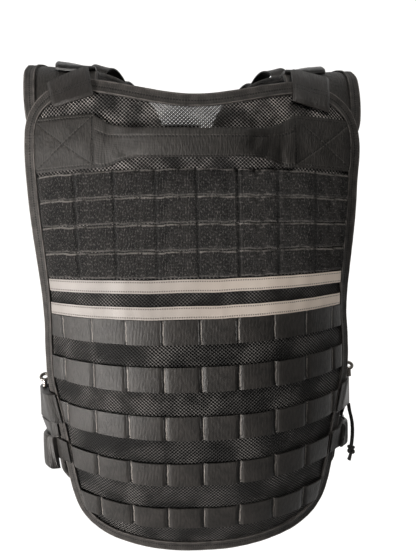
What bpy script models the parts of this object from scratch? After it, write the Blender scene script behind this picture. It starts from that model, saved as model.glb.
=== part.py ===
"""A black mesh load vest with webbing rows on its back, in the form it has when worn.

Lengths below are millimetres. +Y is the way the wearer faces, +X is the wearer's right,
+Z is up, and the origin is the middle between the shoulders, level with their ridge.
Cloth pieces are made flat, in pattern coordinates, and are then laid on the body's form.
"""

import math

import bmesh
import bpy
from mathutils import Matrix, Vector

MM = 0.001
GAP = 0.3

# Form of the back: a flat middle, then an arc whose radius is wide at the shoulders.
BACK_Y = -110.0
FLAT = 19.0
UPPER_RADIUS = 300.0
LOWER_RADIUS = 180.0
RADIUS_FROM = -130.0
RADIUS_SPAN = 150.0
WAIST_FROM = -310.0
WAIST_SPAN = 170.0
WAIST_DEPTH = 40.0

# Form of the shoulders: a quarter ellipse up to the ridge, and another one down in front.
RIDGE_FROM = -90.0
RIDGE_DEPTH = 80.0
ARCH_RADIUS = 85.0
RIDGE_SINK = 4.7
OUTER_PUSH = 30.0
SHOULDER_DROP = 0.04
DROP_FROM = -250.0

# Form of the front.
FRONT_Y = 105.0
FRONT_FLAT = 15.0
FRONT_RADIUS = 165.0
ARC_FADE = 90.0

# The sides of each row droop above this height, and rise below it.
LEVEL_ROW = -224.0
FAN = 0.0765
FAN_WIDTH = 170.0

# Cloth.
MESH = 2.4
BINDING = 1.0
BINDING_WIDTH = 11.0
BINDING_OVER = 1.2
BINDING_EDGE = 0.5
SEWN = 0.7
BACK_COLUMNS = 16
FRONT_COLUMNS = 8
WEBBING = 1.4
WEBBING_WIDTH = 25.5
CELL = 38.0
CELL_BULGE = 2.2
CELL_RAMP = 5.0
LOOP_CELL = 41.0
LOOP_PILE = 2.0
TAPE = 0.7
TAPE_WIDTH = 13.3

# Outline of the back panel: height, half width.
BACK_EDGE = (
    (-526.0, 100.0),
    (-523.0, 112.0),
    (-517.0, 127.0),
    (-508.0, 139.0),
    (-496.0, 147.0),
    (-480.0, 152.0),
    (-460.0, 156.0),
    (-440.0, 159.5),
    (-420.0, 163.0),
    (-400.0, 166.5),
    (-380.0, 171.0),
    (-358.0, 178.0),
    (-338.0, 183.0),
    (-310.0, 184.0),
    (-285.0, 183.5),
    (-265.0, 182.0),
    (-246.0, 179.5),
    (-227.0, 177.0),
    (-208.0, 176.0),
    (-190.0, 176.0),
    (-165.0, 177.0),
    (-135.0, 179.0),
    (-108.0, 180.0),
    (-92.0, 181.0),
    (-78.0, 182.0),
    (-66.0, 183.0),
    (-55.0, 183.0),
    (-43.0, 181.0),
    (-34.0, 175.0),
    (-27.0, 166.0),
    (-22.0, 155.0),
    (-20.0, 142.0),
)
NECK_DIP = 18.0
NECK_HALF = 125.0
NECK_FADE = 90.0
HEM_DIP = 6.0
HEM_FADE = 70.0

# Tops of the rows on the back.
LOOP_TOPS = (-109.0, -136.0, -163.5, -191.0)
LOOP_HEIGHT = 26.7
TAPE_TOPS = (-219.5, -246.5)
WEBBING_TOPS = (-260.3, -309.0, -361.0, -413.5, -469.0)

# Handle: distance from the middle, top, bottom, stand-off, thickness.
HANDLE = (
    (0.0, -73.5, -98.5, 20.0, 7.0),
    (24.0, -73.0, -98.0, 19.0, 7.0),
    (48.0, -72.0, -97.5, 16.0, 6.0),
    (60.0, -71.0, -98.0, 12.5, 4.4),
    (72.0, -68.5, -100.0, 8.5, 3.2),
    (84.0, -64.5, -104.5, 4.6, 2.4),
    (92.0, -60.0, -106.5, 2.4, 2.0),
    (98.4, -55.5, -105.5, 1.2, 1.6),
)
PATCH = 1.5
PATCH_INNER = 99.0
PATCH_OUTER = 168.0
PATCH_TOP = -54.0
PATCH_BOTTOM = -105.5

# Front piece, from its hem up and over the shoulder: path, inner edge, outer edge.
# The path is 0 at the height where the shoulder starts to curve.
FRONT_EDGE = (
    (-394.0, 22.0, 118.0),
    (-391.0, 11.0, 132.0),
    (-383.0, 7.0, 145.0),
    (-370.0, 7.0, 154.0),
    (-350.0, 7.0, 158.5),
    (-275.0, 7.0, 160.0),
    (-200.0, 7.0, 160.0),
    (-160.0, 7.0, 158.0),
    (-135.0, 7.0, 153.0),
    (-112.0, 7.0, 143.0),
    (-85.0, 7.0, 134.0),
    (-58.0, 7.0, 128.0),
    (-42.0, 8.0, 126.0),
    (-25.0, 13.0, 125.0),
    (0.0, 21.0, 127.0),
    (20.0, 27.5, 130.0),
    (40.0, 35.0, 134.0),
    (60.0, 44.0, 140.0),
    (78.0, 55.0, 147.5),
    (94.0, 66.0, 155.0),
    (108.0, 76.5, 160.0),
    (121.0, 87.0, 165.0),
    (133.5, 93.5, 168.5),
    (146.0, 96.5, 171.5),
    (162.0, 98.0, 173.5),
    (179.0, 98.5, 174.0),
    (197.0, 99.0, 174.0),
    (215.0, 99.5, 173.0),
    (230.0, 101.0, 170.5),
    (240.0, 104.0, 166.0),
    (247.0, 112.0, 156.0),
)
TUCK = 5.6
TUCK_FROM = 140.0
TUCK_SPAN = 85.0

# Shoulder tab on the back panel's top edge: distance from the middle and height.
TAB_TOP_INNER = (108.0, -7.0)
TAB_TOP_OUTER = (151.0, -11.0)
TAB_BOTTOM_INNER = (100.0, -39.0)
TAB_BOTTOM_OUTER = (142.0, -44.0)
TAB = 3.0

# Side closures.
STRAP = 1.8
STRAP_UPPER = (-388.0, -356.0)
STRAP_LOWER = (-436.0, -410.0)
SIDE_LIFT = 3.3
SIDE_REACH = 168.5
SIDE_STEP = 6.0
SIDE_MIDDLE_Y = -14.0
BUCKLE = 4.4
KEEPER = 2.0
RING_HEIGHT = -333.2
RING_RADIUS = 4.6
RING_WIRE = 1.3
STEM_HEIGHT = 9.6

# Pull cord on the right side: the outer strand's route, across, forward and up.
CORD = 3.0
CORD_OUTER = (
    (168.4, -21.0, -376.6),
    (169.8, -21.1, -386.0),
    (171.3, -21.4, -392.5),
    (172.4, -21.6, -399.5),
    (172.8, -21.6, -407.0),
    (172.6, -21.4, -414.5),
    (172.0, -21.0, -421.0),
    (171.4, -20.6, -426.4),
)
CORD_SPREAD = 6.4
KNOT_CENTRE = (171.2, -18.0, -432.0)
KNOT_RADII = (5.2, 6.4, 5.4)


def clear_scene():
    for old in list(bpy.data.objects):
        bpy.data.objects.remove(old, do_unlink=True)


def smooth(t):
    t = min(max(t, 0.0), 1.0)
    return t * t * (3.0 - 2.0 * t)


def read(table, at, column):
    """Straight-line reading of one column of a table whose first column rises or falls."""
    rows = table if table[0][0] < table[-1][0] else table[::-1]
    at = min(max(at, rows[0][0]), rows[-1][0])
    for low, high in zip(rows, rows[1:]):
        if at <= high[0]:
            share = (at - low[0]) / (high[0] - low[0])
            return low[column] + (high[column] - low[column]) * share
    return rows[-1][column]


def settled(x, y, z):
    """The wearer's right shoulder hangs a little lower than the left one."""
    share = max(z - DROP_FROM, 0.0) / -DROP_FROM
    return Vector((x, y, z - SHOULDER_DROP * x * share))


def back_base(s, v):
    """The outer face of the back panel, at s across from the middle and height v."""
    radius = UPPER_RADIUS + (LOWER_RADIUS - UPPER_RADIUS) * smooth((RADIUS_FROM - v) / RADIUS_SPAN)
    turn = max(abs(s) - FLAT, 0.0) / radius
    x = min(abs(s), FLAT) + radius * math.sin(turn)
    climb = min(max((v - RIDGE_FROM) / -RIDGE_FROM, 0.0), 0.999)
    shoulder = RIDGE_DEPTH * (1.0 - math.sqrt(1.0 - climb * climb))
    waist = WAIST_DEPTH * (max(WAIST_FROM - v, 0.0) / WAIST_SPAN) ** 2
    y = BACK_Y + shoulder + waist + radius * (1.0 - math.cos(turn))
    lift = (LEVEL_ROW - min(v, RIDGE_FROM)) * FAN * (1.0 - 0.7 * climb)
    return settled(math.copysign(x, s), y, v + lift * (s / FAN_WIDTH) ** 2)


def on_back(s, v, d=0.0):
    """A point d outside the back panel's outer face."""
    point = back_base(s, v)
    across = back_base(s + 0.5, v) - back_base(s - 0.5, v)
    up = back_base(s, v + 0.5) - back_base(s, v - 0.5)
    return point + across.cross(up).normalized() * d


def half_width(v):
    return read(BACK_EDGE, v, 1)


def front_arc(x, p):
    """How far from the middle the distance x lies on the cloth: the arc, and x itself on the shoulder."""
    if x <= FRONT_FLAT:
        return x
    arc = FRONT_FLAT + FRONT_RADIUS * math.asin(min((x - FRONT_FLAT) / FRONT_RADIUS, 1.0))
    return arc + (x - arc) * smooth(p / ARC_FADE)


def front_across(a, p):
    """The distance x that lies at a on the cloth, found by halving."""
    low, high = 0.0, FRONT_FLAT + FRONT_RADIUS
    for _ in range(40):
        middle = (low + high) / 2.0
        if front_arc(middle, p) < a:
            low = middle
        else:
            high = middle
    return high


def front_base(a, p):
    """The outer face of the right front piece, at cloth distance a from the middle and path p."""
    x = front_across(a, p)
    front = FRONT_Y - FRONT_RADIUS + math.sqrt(FRONT_RADIUS**2 - max(x - FRONT_FLAT, 0.0) ** 2)
    back_depth = UPPER_RADIUS - math.sqrt(UPPER_RADIUS**2 - max(x - FLAT, 0.0) ** 2)
    ridge = BACK_Y + back_depth + RIDGE_DEPTH
    if p <= 0.0:
        return Vector((x, front, RIDGE_FROM + p))
    angle = math.pi - p / ARCH_RADIUS
    height = RIDGE_FROM * (1.0 - math.sin(angle)) - RIDGE_SINK * math.sin(angle)
    climb = math.sin(angle)
    front += OUTER_PUSH * (max(x - 120.0, 0.0) / 50.0) ** 2 * smooth(p / 110.0)
    depth = front - ridge if angle > math.pi / 2 else RIDGE_DEPTH
    behind = 1.0 if angle < math.pi / 2 else 0.0
    lift = (LEVEL_ROW - RIDGE_FROM) * FAN * (1.0 - 0.7 * climb) * behind
    ridge_lift = (LEVEL_ROW - RIDGE_FROM) * FAN * 0.3 * (1.0 - behind) * climb
    droop = (lift + ridge_lift) * (x / FAN_WIDTH) ** 2
    return Vector((x, ridge - depth * math.cos(angle), height + droop))


def on_front(a, p, d=0.0, side=1.0):
    """A point d outside the front piece of the side, 1 for the right and -1 for the left."""
    point = front_base(a, p)
    across = front_base(a + 0.5, p) - front_base(a - 0.5, p)
    up = front_base(a, p + 0.5) - front_base(a, p - 0.5)
    tuck = TUCK * smooth((p - TUCK_FROM) / TUCK_SPAN)
    point = point + up.cross(across).normalized() * (d - tuck)
    return settled(point.x * side, point.y, point.z)


def material(name, colour, roughness, metallic=0.0):
    made = bpy.data.materials.new(name)
    made.use_nodes = True
    shader = made.node_tree.nodes["Principled BSDF"]
    shader.inputs["Base Color"].default_value = (*colour, 1.0)
    shader.inputs["Roughness"].default_value = roughness
    shader.inputs["Metallic"].default_value = metallic
    return made


def finish(bm, name, finish_material, smooth_angle=40.0):
    """Turns a bmesh in millimetres into the named object, in metres, facing out."""
    bmesh.ops.recalc_face_normals(bm, faces=bm.faces)
    if bm.calc_volume(signed=True) < 0.0:
        bmesh.ops.reverse_faces(bm, faces=bm.faces)
    bmesh.ops.scale(bm, vec=(MM, MM, MM), verts=bm.verts)
    mesh = bpy.data.meshes.new(name)
    bm.to_mesh(mesh)
    bm.free()
    mesh.shade_smooth()
    mesh.set_sharp_from_angle(angle=math.radians(smooth_angle))
    mesh.materials.append(finish_material)
    made = bpy.data.objects.new(name, mesh)
    bpy.context.scene.collection.objects.link(made)
    return made


def sheet(name, place, across, along, finish_material):
    """A cloth piece: a flat grid given a thickness, then laid where place(u, w, layer) says.

    u and w run from 0 to 1 over the grid, and the layer is 0 inside and 1 outside.
    """
    bm = bmesh.new()
    bmesh.ops.create_grid(bm, x_segments=across, y_segments=along, size=0.5)
    grown = bmesh.ops.extrude_face_region(bm, geom=list(bm.faces))
    lifted = [item for item in grown["geom"] if isinstance(item, bmesh.types.BMVert)]
    bmesh.ops.translate(bm, vec=(0.0, 0.0, 1.0), verts=lifted)
    for vert in bm.verts:
        vert.co = place(vert.co.x + 0.5, vert.co.y + 0.5, vert.co.z)
    return finish(bm, name, finish_material)


def binding(name, surface, outline, thickness, finish_material):
    """A tape folded over an edge: one angled section carried round the closed outline."""
    section = (
        (BINDING_WIDTH, BINDING_OVER),
        (BINDING_WIDTH, BINDING_OVER + BINDING),
        (-BINDING_EDGE - BINDING, BINDING_OVER + BINDING),
        (-BINDING_EDGE - BINDING, -thickness),
        (-BINDING_EDGE, -thickness),
        (-BINDING_EDGE, BINDING_OVER),
    )
    count = len(outline)
    bm = bmesh.new()
    rings = []
    for index, point in enumerate(outline):
        before = (point - outline[index - 1]).normalized()
        after = (outline[(index + 1) % count] - point).normalized()
        along = (before + after).normalized()
        inward = Vector((-along.y, along.x))
        miter = 1.0 / max(inward.dot(Vector((-after.y, after.x))), 0.6)
        ring = []
        for width, d in section:
            spot = point + inward * (width * miter)
            ring.append(bm.verts.new(surface(spot.x, spot.y, d)))
        rings.append(ring)
    for index, ring in enumerate(rings):
        following = rings[(index + 1) % count]
        for corner in range(len(section)):
            other = (corner + 1) % len(section)
            bm.faces.new((ring[corner], ring[other], following[other], following[corner]))
    return finish(bm, name, finish_material)


def spread(start, end, column, columns):
    """Where a panel's column lies: those next to the edges lie under the binding's rims."""
    if column == 0:
        return start
    if column == columns:
        return end
    low, high = start + BINDING_WIDTH, end - BINDING_WIDTH
    return low + (high - low) * (column - 1) / (columns - 2)


def back_spot(column, row):
    """Where a point of the back panel's pattern lies, by its column and its edge table's row."""
    height, half = BACK_EDGE[row]
    s = spread(-half, half, column, BACK_COLUMNS)
    neck = NECK_DIP * (1.0 - smooth(abs(s) / NECK_HALF)) * smooth((height + 20.0 + NECK_FADE) / NECK_FADE)
    hem = HEM_DIP * (1.0 - (s / 100.0) ** 2) * smooth((-526.0 + HEM_FADE - height) / HEM_FADE)
    return Vector((s, height - neck - max(hem, 0.0)))


def make_back_panel(cloth, edging):
    rows = len(BACK_EDGE) - 1

    def place(u, w, layer):
        spot = back_spot(round(u * BACK_COLUMNS), round(w * rows))
        return on_back(spot.x, spot.y, MESH * (layer - 1.0))

    sheet("back_panel", place, BACK_COLUMNS, rows, cloth)
    outline = [back_spot(column, 0) for column in range(BACK_COLUMNS)]
    outline += [back_spot(BACK_COLUMNS, row) for row in range(rows)]
    outline += [back_spot(BACK_COLUMNS - column, rows) for column in range(BACK_COLUMNS)]
    outline += [back_spot(0, rows - row) for row in range(rows)]
    binding("back_binding", on_back, outline, MESH, edging)


def row_ends(v):
    """Half the length of a strip that is sewn between the bindings at this height."""
    return half_width(v) - BINDING_WIDTH - 2.5


def make_strip(name, top, height, low, thick, stops, bulge, finish_material):
    """A strip across the back, whose columns lie at the stops and swell by bulge(s)."""
    ends = min(row_ends(top), row_ends(top - height), row_ends(top - height / 2))
    inside = [s for s in stops if abs(s) < ends - 3.0]
    columns = [-ends] + inside + [ends]

    def place(u, w, layer):
        s = columns[round(u * (len(columns) - 1))]
        end_share = 0.0 if abs(s) == ends else 1.0
        d = low + bulge(s) * end_share + thick * layer
        return on_back(s, top - height * (1.0 - w), d)

    sheet(name, place, len(columns) - 1, 1, finish_material)


def make_loop_rows(pile):
    half_cells = [LOOP_CELL / 2.0 * index for index in range(-9, 10)]
    for index, top in enumerate(LOOP_TOPS):
        make_strip(
            f"loop_row_{index + 1}", top, LOOP_HEIGHT, SEWN, LOOP_PILE, half_cells, lambda s: 0.0, pile
        )


def make_tapes(reflective):
    stops = [19.0 * index for index in range(-9, 10)]
    for name, top in zip(("upper", "lower"), TAPE_TOPS):
        make_strip(
            f"reflective_tape_{name}", top, TAPE_WIDTH, SEWN, TAPE, stops, lambda s: 0.0, reflective
        )


def make_webbing_rows(webbing):
    """Each row is tacked down at every cell's sides, and stands off between the tacks."""
    stops = []
    for cell in range(-5, 5):
        stops += [cell * CELL, cell * CELL + CELL_RAMP, (cell + 1) * CELL - CELL_RAMP]
    stops.append(5 * CELL)

    def bulge(s):
        inside = s % CELL
        near_tack = min(inside, CELL - inside)
        return CELL_BULGE * min(near_tack / CELL_RAMP, 1.0)

    for index, top in enumerate(WEBBING_TOPS):
        name = f"webbing_row_{index + 1}"
        make_strip(name, top, WEBBING_WIDTH, SEWN, WEBBING, stops, bulge, webbing)


def make_handle(cloth):
    for name, side in (("left", -1.0), ("right", 1.0)):

        def patch(u, w, layer, side=side):
            s = side * (PATCH_INNER + (PATCH_OUTER - PATCH_INNER) * u)
            return on_back(s, PATCH_BOTTOM + (PATCH_TOP - PATCH_BOTTOM) * w, SEWN + PATCH * layer)

        sheet(f"handle_patch_{name}", patch, 4, 4, cloth)
    stations = [-row[0] for row in HANDLE[:0:-1]] + [row[0] for row in HANDLE]
    across = 4

    def grip(u, w, layer):
        s = stations[round(u * (len(stations) - 1))]
        top, bottom, stand_off, thick = (read(HANDLE, abs(s), column) for column in (1, 2, 3, 4))
        rim = math.sqrt(max(1.0 - 0.9 * (2.0 * w - 1.0) ** 2, 0.0))
        d = stand_off + (layer - 0.5) * thick * max(rim, 0.35)
        return on_back(s, bottom + (top - bottom) * w, max(d, SEWN))

    sheet("handle_grip", grip, len(stations) - 1, across, cloth)


def front_spot(column, row):
    path, inner, outer = FRONT_EDGE[row]
    start, end = front_arc(inner, path), front_arc(outer, path)
    return Vector((spread(start, end, column, FRONT_COLUMNS), path))


def make_front_pieces(cloth, edging):
    rows = len(FRONT_EDGE) - 1
    for name, side in (("left", -1.0), ("right", 1.0)):

        def place(u, w, layer, side=side):
            spot = front_spot(round(u * FRONT_COLUMNS), round(w * rows))
            return on_front(spot.x, spot.y, MESH * (layer - 1.0), side)

        def surface(a, p, d, side=side):
            return on_front(a, p, d, side)

        sheet(f"front_panel_{name}", place, FRONT_COLUMNS, rows, cloth)
        outline = [front_spot(column, 0) for column in range(FRONT_COLUMNS)]
        outline += [front_spot(FRONT_COLUMNS, row) for row in range(rows)]
        outline += [front_spot(FRONT_COLUMNS - column, rows) for column in range(FRONT_COLUMNS)]
        outline += [front_spot(0, rows - row) for row in range(rows)]
        binding(f"front_binding_{name}", surface, outline, MESH, edging)


def make_front_zip(plastic):
    """A plain closed zip in the gap between the two front pieces."""
    half = 7.0 - BINDING_EDGE - BINDING - GAP
    low, high = -383.0, -62.0
    profile = ((-half, 0.0), (-2.6, 0.0), (-2.2, 1.6), (2.2, 1.6), (2.6, 0.0), (half, 0.0))

    def place(u, w, layer):
        x, rise = profile[round(u * (len(profile) - 1))]
        y = FRONT_Y - 1.6 + rise * layer + 1.2 * layer
        return settled(x, y, RIDGE_FROM + low + (high - low) * w)

    sheet("front_zip", place, len(profile) - 1, 2, plastic)


def make_shoulder_fittings(webbing, plastic):
    for name, side in (("left", -1.0), ("right", 1.0)):

        def tab(u, w, layer, side=side):
            low = [a + (b - a) * u for a, b in zip(TAB_BOTTOM_INNER, TAB_BOTTOM_OUTER)]
            high = [a + (b - a) * u for a, b in zip(TAB_TOP_INNER, TAB_TOP_OUTER)]
            s, v = (a + (b - a) * w for a, b in zip(low, high))
            return on_back(side * s, v, BINDING_OVER + BINDING + 2.0 * GAP + TAB * layer)

        sheet(f"shoulder_tab_{name}", tab, 4, 5, webbing)

        def bar(u, w, layer, side=side):
            angle = math.radians(70.0 + 18.0 * w)
            s = 102.0 + 38.0 * u
            path = ARCH_RADIUS * (math.pi - angle)
            rim = 0.7 if w in (0.0, 1.0) else 1.0
            return on_front(front_arc(s, path), path, 2.3 + 4.6 * layer * rim, side)

        sheet(f"shoulder_bar_{name}", bar, 3, 4, plastic)

        def loops(u, w, layer, side=side):
            path = 78.0 + 48.0 * u
            inner = front_arc(read(FRONT_EDGE, path, 1), path)
            swell = 5.5 * abs(math.sin(2.0 * math.pi * u))
            return on_front(inner + 3.0 + 18.0 * w, path, BINDING_OVER + BINDING + 0.6 + swell + WEBBING * layer, side)

        sheet(f"shoulder_webbing_{name}", loops, 16, 1, webbing)


def side_route(v):
    """Points along a strap that goes round the right side at height v."""
    half = half_width(v)
    points = [on_back(half - back, v, SIDE_LIFT) for back in (10.5, 4.5, -2.2)]
    middle_z = points[-1].z
    path = middle_z - RIDGE_FROM
    outer = front_arc(read(FRONT_EDGE, path, 2), path)
    reach = SIDE_REACH - SIDE_STEP * smooth((STRAP_UPPER[0] - v) / (STRAP_UPPER[0] - STRAP_LOWER[1]))
    points += [
        Vector((reach - 4.0, SIDE_MIDDLE_Y - 12.0, middle_z)),
        Vector((reach, SIDE_MIDDLE_Y, middle_z)),
        Vector((reach - 1.5, SIDE_MIDDLE_Y + 15.0, middle_z)),
    ]
    points += [on_front(outer - back, path, SIDE_LIFT) for back in (-2.2, 8.0, 22.0)]
    return points


def smooth_route(points, steps):
    """Points read from a Catmull-Rom curve through the route's own points."""
    padded = [points[0] * 2.0 - points[1], *points, points[-1] * 2.0 - points[-2]]
    out = []
    for a, b, c, d in zip(padded, padded[1:], padded[2:], padded[3:]):
        for step in range(steps):
            t = step / steps
            bend = (2.0 * a - 5.0 * b + 4.0 * c - d) * t * t
            twist = (3.0 * b - a - 3.0 * c + d) * t * t * t
            out.append((2.0 * b + (c - a) * t + bend + twist) * 0.5)
    out.append(points[-1].copy())
    return out


def side_sheet(name, low, high, inner, thick, side, finish_material, first=0, last=None):
    """A strap round one side, from height low to height high, with its inner face inner off."""
    lows = smooth_route(side_route(low), 2)[first:last]
    highs = smooth_route(side_route(high), 2)[first:last]

    def place(u, w, layer):
        index = round(u * (len(lows) - 1))
        point = lows[index].lerp(highs[index], w)
        before, after = max(index - 1, 0), min(index + 1, len(lows) - 1)
        along = lows[after].lerp(highs[after], w) - lows[before].lerp(highs[before], w)
        outward = along.cross(highs[index] - lows[index]).normalized()
        point = point + outward * (inner + thick * layer)
        return Vector((point.x * side, point.y, point.z))

    return sheet(name, place, len(lows) - 1, 1, finish_material)


def make_ring(name, side, steel):
    """A wire ring on a short stem, which stands at the top of the upper side strap."""
    bm = bmesh.new()
    section = bmesh.ops.create_circle(bm, segments=6, radius=RING_WIRE)["verts"]
    bmesh.ops.rotate(bm, verts=section, matrix=Matrix.Rotation(math.radians(90.0), 3, "X"))
    bmesh.ops.translate(bm, vec=(RING_RADIUS, 0.0, 0.0), verts=section)
    bmesh.ops.spin(bm, geom=bm.edges[:], axis=(0, 0, 1), angle=math.tau, steps=12, use_merge=True)
    bmesh.ops.rotate(bm, verts=bm.verts, matrix=Matrix.Rotation(math.radians(38.0), 3, "X"))
    centre = Vector(((SIDE_REACH + STRAP / 2.0) * side, SIDE_MIDDLE_Y, RING_HEIGHT))
    bmesh.ops.translate(bm, vec=centre, verts=bm.verts)
    ring = finish(bm, name, steel, 60.0)
    stem = bmesh.new()
    bmesh.ops.create_cone(stem, cap_ends=True, segments=8, radius1=1.9, radius2=1.5, depth=STEM_HEIGHT)
    below = Vector((0.0, -RING_RADIUS * 0.79, -RING_RADIUS * 0.62 - STEM_HEIGHT / 2.0 + 1.0))
    bmesh.ops.translate(stem, vec=centre + below, verts=stem.verts)
    post = finish(stem, f"{name}_stem", steel, 60.0)
    post.hide_render = True
    post.display_type = "WIRE"
    joined = ring.modifiers.new("Stem", "BOOLEAN")
    joined.operation = "UNION"
    joined.object = post
    return ring


def make_sides(webbing, plastic, steel):
    for name, side in (("left", -1.0), ("right", 1.0)):
        side_sheet(f"side_strap_upper_{name}", *STRAP_UPPER, 0.0, STRAP, side, webbing)
        side_sheet(f"side_strap_lower_{name}", *STRAP_LOWER, 0.0, STRAP, side, webbing)
        make_ring(f"side_ring_{name}", side, steel)
        low, high = STRAP_LOWER[0] - 1.0, STRAP_LOWER[1] + 1.5
        side_sheet(f"side_buckle_{name}", low, high, STRAP + GAP, BUCKLE, side, plastic, 5, 12)
        low, high = STRAP_LOWER[1] + 2.4, STRAP_UPPER[0] - 1.0
        side_sheet(f"side_keeper_{name}", low, high, 0.0, KEEPER, side, plastic, 9, 13)


def make_cord(black):
    """Two strands of a pull cord and the knot that ends them."""
    for name, shift in (("rear", 0.0), ("front", CORD_SPREAD)):
        route = []
        count = len(CORD_OUTER) - 1
        for index, (x, y, z) in enumerate(CORD_OUTER):
            route.append(Vector((x, y + shift * (1.0 - 0.25 * index / count), z)))
        points = smooth_route(route, 1)
        curve = bpy.data.curves.new(f"side_cord_{name}", "CURVE")
        curve.dimensions = "3D"
        curve.bevel_depth = CORD / 2.0 * MM
        curve.bevel_resolution = 2
        curve.use_fill_caps = True
        spline = curve.splines.new("POLY")
        spline.points.add(len(points) - 1)
        for spot, point in zip(spline.points, points):
            spot.co = (*(point * MM), 1.0)
        curve.materials.append(black)
        bpy.context.scene.collection.objects.link(bpy.data.objects.new(f"side_cord_{name}", curve))
    bm = bmesh.new()
    bmesh.ops.create_uvsphere(bm, u_segments=10, v_segments=7, radius=1.0)
    bmesh.ops.scale(bm, vec=KNOT_RADII, verts=bm.verts)
    bottom = [face for face in bm.faces if face.calc_center_median().z < -KNOT_RADII[2] * 0.75]
    tail = bmesh.ops.extrude_face_region(bm, geom=bottom)
    moved = [item for item in tail["geom"] if isinstance(item, bmesh.types.BMVert)]
    bmesh.ops.delete(bm, geom=bottom, context="FACES")
    bmesh.ops.translate(bm, vec=(-2.6, 0.0, -7.0), verts=moved)
    bmesh.ops.translate(bm, vec=KNOT_CENTRE, verts=bm.verts)
    finish(bm, "side_cord_knot", black, 60.0)


def main():
    clear_scene()
    mesh_cloth = material("mesh_cloth", (0.020, 0.019, 0.018), 0.85)
    edging = material("edge_binding", (0.035, 0.033, 0.031), 0.75)
    webbing = material("nylon_webbing", (0.045, 0.043, 0.042), 0.7)
    pack_cloth = material("pack_cloth", (0.042, 0.040, 0.038), 0.8)
    pile = material("loop_pile", (0.024, 0.023, 0.022), 0.95)
    reflective = material("reflective_tape", (0.55, 0.52, 0.49), 0.45)
    plastic = material("black_plastic", (0.030, 0.030, 0.030), 0.45)
    steel = material("dark_steel", (0.35, 0.33, 0.30), 0.35, 1.0)
    cord = material("black_cord", (0.012, 0.012, 0.012), 0.85)

    make_back_panel(mesh_cloth, edging)
    make_loop_rows(pile)
    make_tapes(reflective)
    make_webbing_rows(webbing)
    make_handle(pack_cloth)
    make_front_pieces(mesh_cloth, edging)
    make_front_zip(plastic)
    make_shoulder_fittings(webbing, plastic)
    make_sides(webbing, plastic, steel)
    make_cord(cord)


main()
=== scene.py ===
# %% [markdown]
# # A black mesh load vest, seen from its back
#
# The vest is sewn from flat cloth: net panels, folded edge tape, bands of loop pile, light
# tape and tacked webbing. So nearly every piece here starts as a flat grid, in the
# coordinates of its own pattern, and is then laid on the form that the vest has when worn.
# The pattern's coordinates stay on it as a UV map, and weave, net and stitches follow them.

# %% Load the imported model
import math

import bmesh
import bpy
from mathutils import Matrix, Vector, noise


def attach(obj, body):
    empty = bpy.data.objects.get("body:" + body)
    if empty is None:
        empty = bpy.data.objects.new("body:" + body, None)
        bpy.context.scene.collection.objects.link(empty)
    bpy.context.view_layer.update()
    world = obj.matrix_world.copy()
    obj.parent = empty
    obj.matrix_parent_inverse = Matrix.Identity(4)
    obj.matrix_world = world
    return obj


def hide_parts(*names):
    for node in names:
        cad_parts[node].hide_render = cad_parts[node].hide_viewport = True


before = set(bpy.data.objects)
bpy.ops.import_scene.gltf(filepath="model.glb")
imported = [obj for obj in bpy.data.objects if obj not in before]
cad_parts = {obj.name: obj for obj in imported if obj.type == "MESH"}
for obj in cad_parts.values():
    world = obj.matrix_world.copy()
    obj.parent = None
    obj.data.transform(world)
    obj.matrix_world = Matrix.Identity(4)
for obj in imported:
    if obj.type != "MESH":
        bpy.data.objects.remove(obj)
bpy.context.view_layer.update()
MM = 0.001

# %% [markdown]
# The camera stands a metre behind the vest, a little above its middle, turned three degrees
# and rolled by one and a half. Its long lens keeps the two sides of the vest nearly parallel.

# %% Camera
AIM = Vector((12.2, -50.0, -225.5)) * MM
CAMERA_AWAY = 1.0
turn, pitch, roll = (math.radians(degrees) for degrees in (3.0, 7.0, -1.5))
ahead = Vector(
    (math.sin(turn) * math.cos(pitch), math.cos(turn) * math.cos(pitch), -math.sin(pitch))
)
right = Vector((math.cos(turn), -math.sin(turn), 0.0))
up = right.cross(ahead)
rolled_right = right * math.cos(roll) + up * math.sin(roll)
rolled_up = up * math.cos(roll) - right * math.sin(roll)
lens = bpy.data.cameras.new("camera")
lens.sensor_fit = "HORIZONTAL"
lens.sensor_width = 36.0
lens.lens = 81.26
lens.clip_start = 0.01
camera = bpy.data.objects.new("camera", lens)
camera.matrix_world = Matrix((rolled_right, rolled_up, -ahead)).transposed().to_4x4()
camera.location = AIM - ahead * CAMERA_AWAY
bpy.context.scene.collection.objects.link(camera)
bpy.context.scene.camera = camera
print("camera at", [round(value, 3) for value in camera.location])

# %% [markdown]
# The pull cord on the right side is two strands that leave the upper strap and end in one
# knot. Each strand is a curve with one open spline, along the same points as its solid.

# %% Route of the pull cord
CORD = 3.0
CORD_OUTER = (
    (168.4, -21.0, -376.6), (169.8, -21.1, -386.0), (171.3, -21.4, -392.5),
    (172.4, -21.6, -399.5), (172.8, -21.6, -407.0), (172.6, -21.4, -414.5),
    (172.0, -21.0, -421.0), (171.4, -20.6, -426.4),
)
CORD_SPREAD = 6.4
KNOT_CENTRE = Vector((171.2, -18.0, -432.0))


def strand_points(shift):
    last = len(CORD_OUTER) - 1
    return [
        Vector((x, y + shift * (1.0 - 0.25 * index / last), z))
        for index, (x, y, z) in enumerate(CORD_OUTER)
    ]


def tube(name, points, radius, closed=False):
    """A round cord along points in millimetres."""
    curve = bpy.data.curves.new(name, "CURVE")
    curve.dimensions = "3D"
    curve.bevel_depth = radius * MM
    curve.bevel_resolution = 4
    curve.use_fill_caps = not closed
    spline = curve.splines.new("POLY")
    spline.points.add(len(points) - 1)
    spline.use_cyclic_u = closed
    for spot, point in zip(spline.points, points):
        spot.co = (*(point * MM), 1.0)
    spline.use_smooth = True
    made = bpy.data.objects.new(name, curve)
    bpy.context.scene.collection.objects.link(made)
    return made


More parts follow.
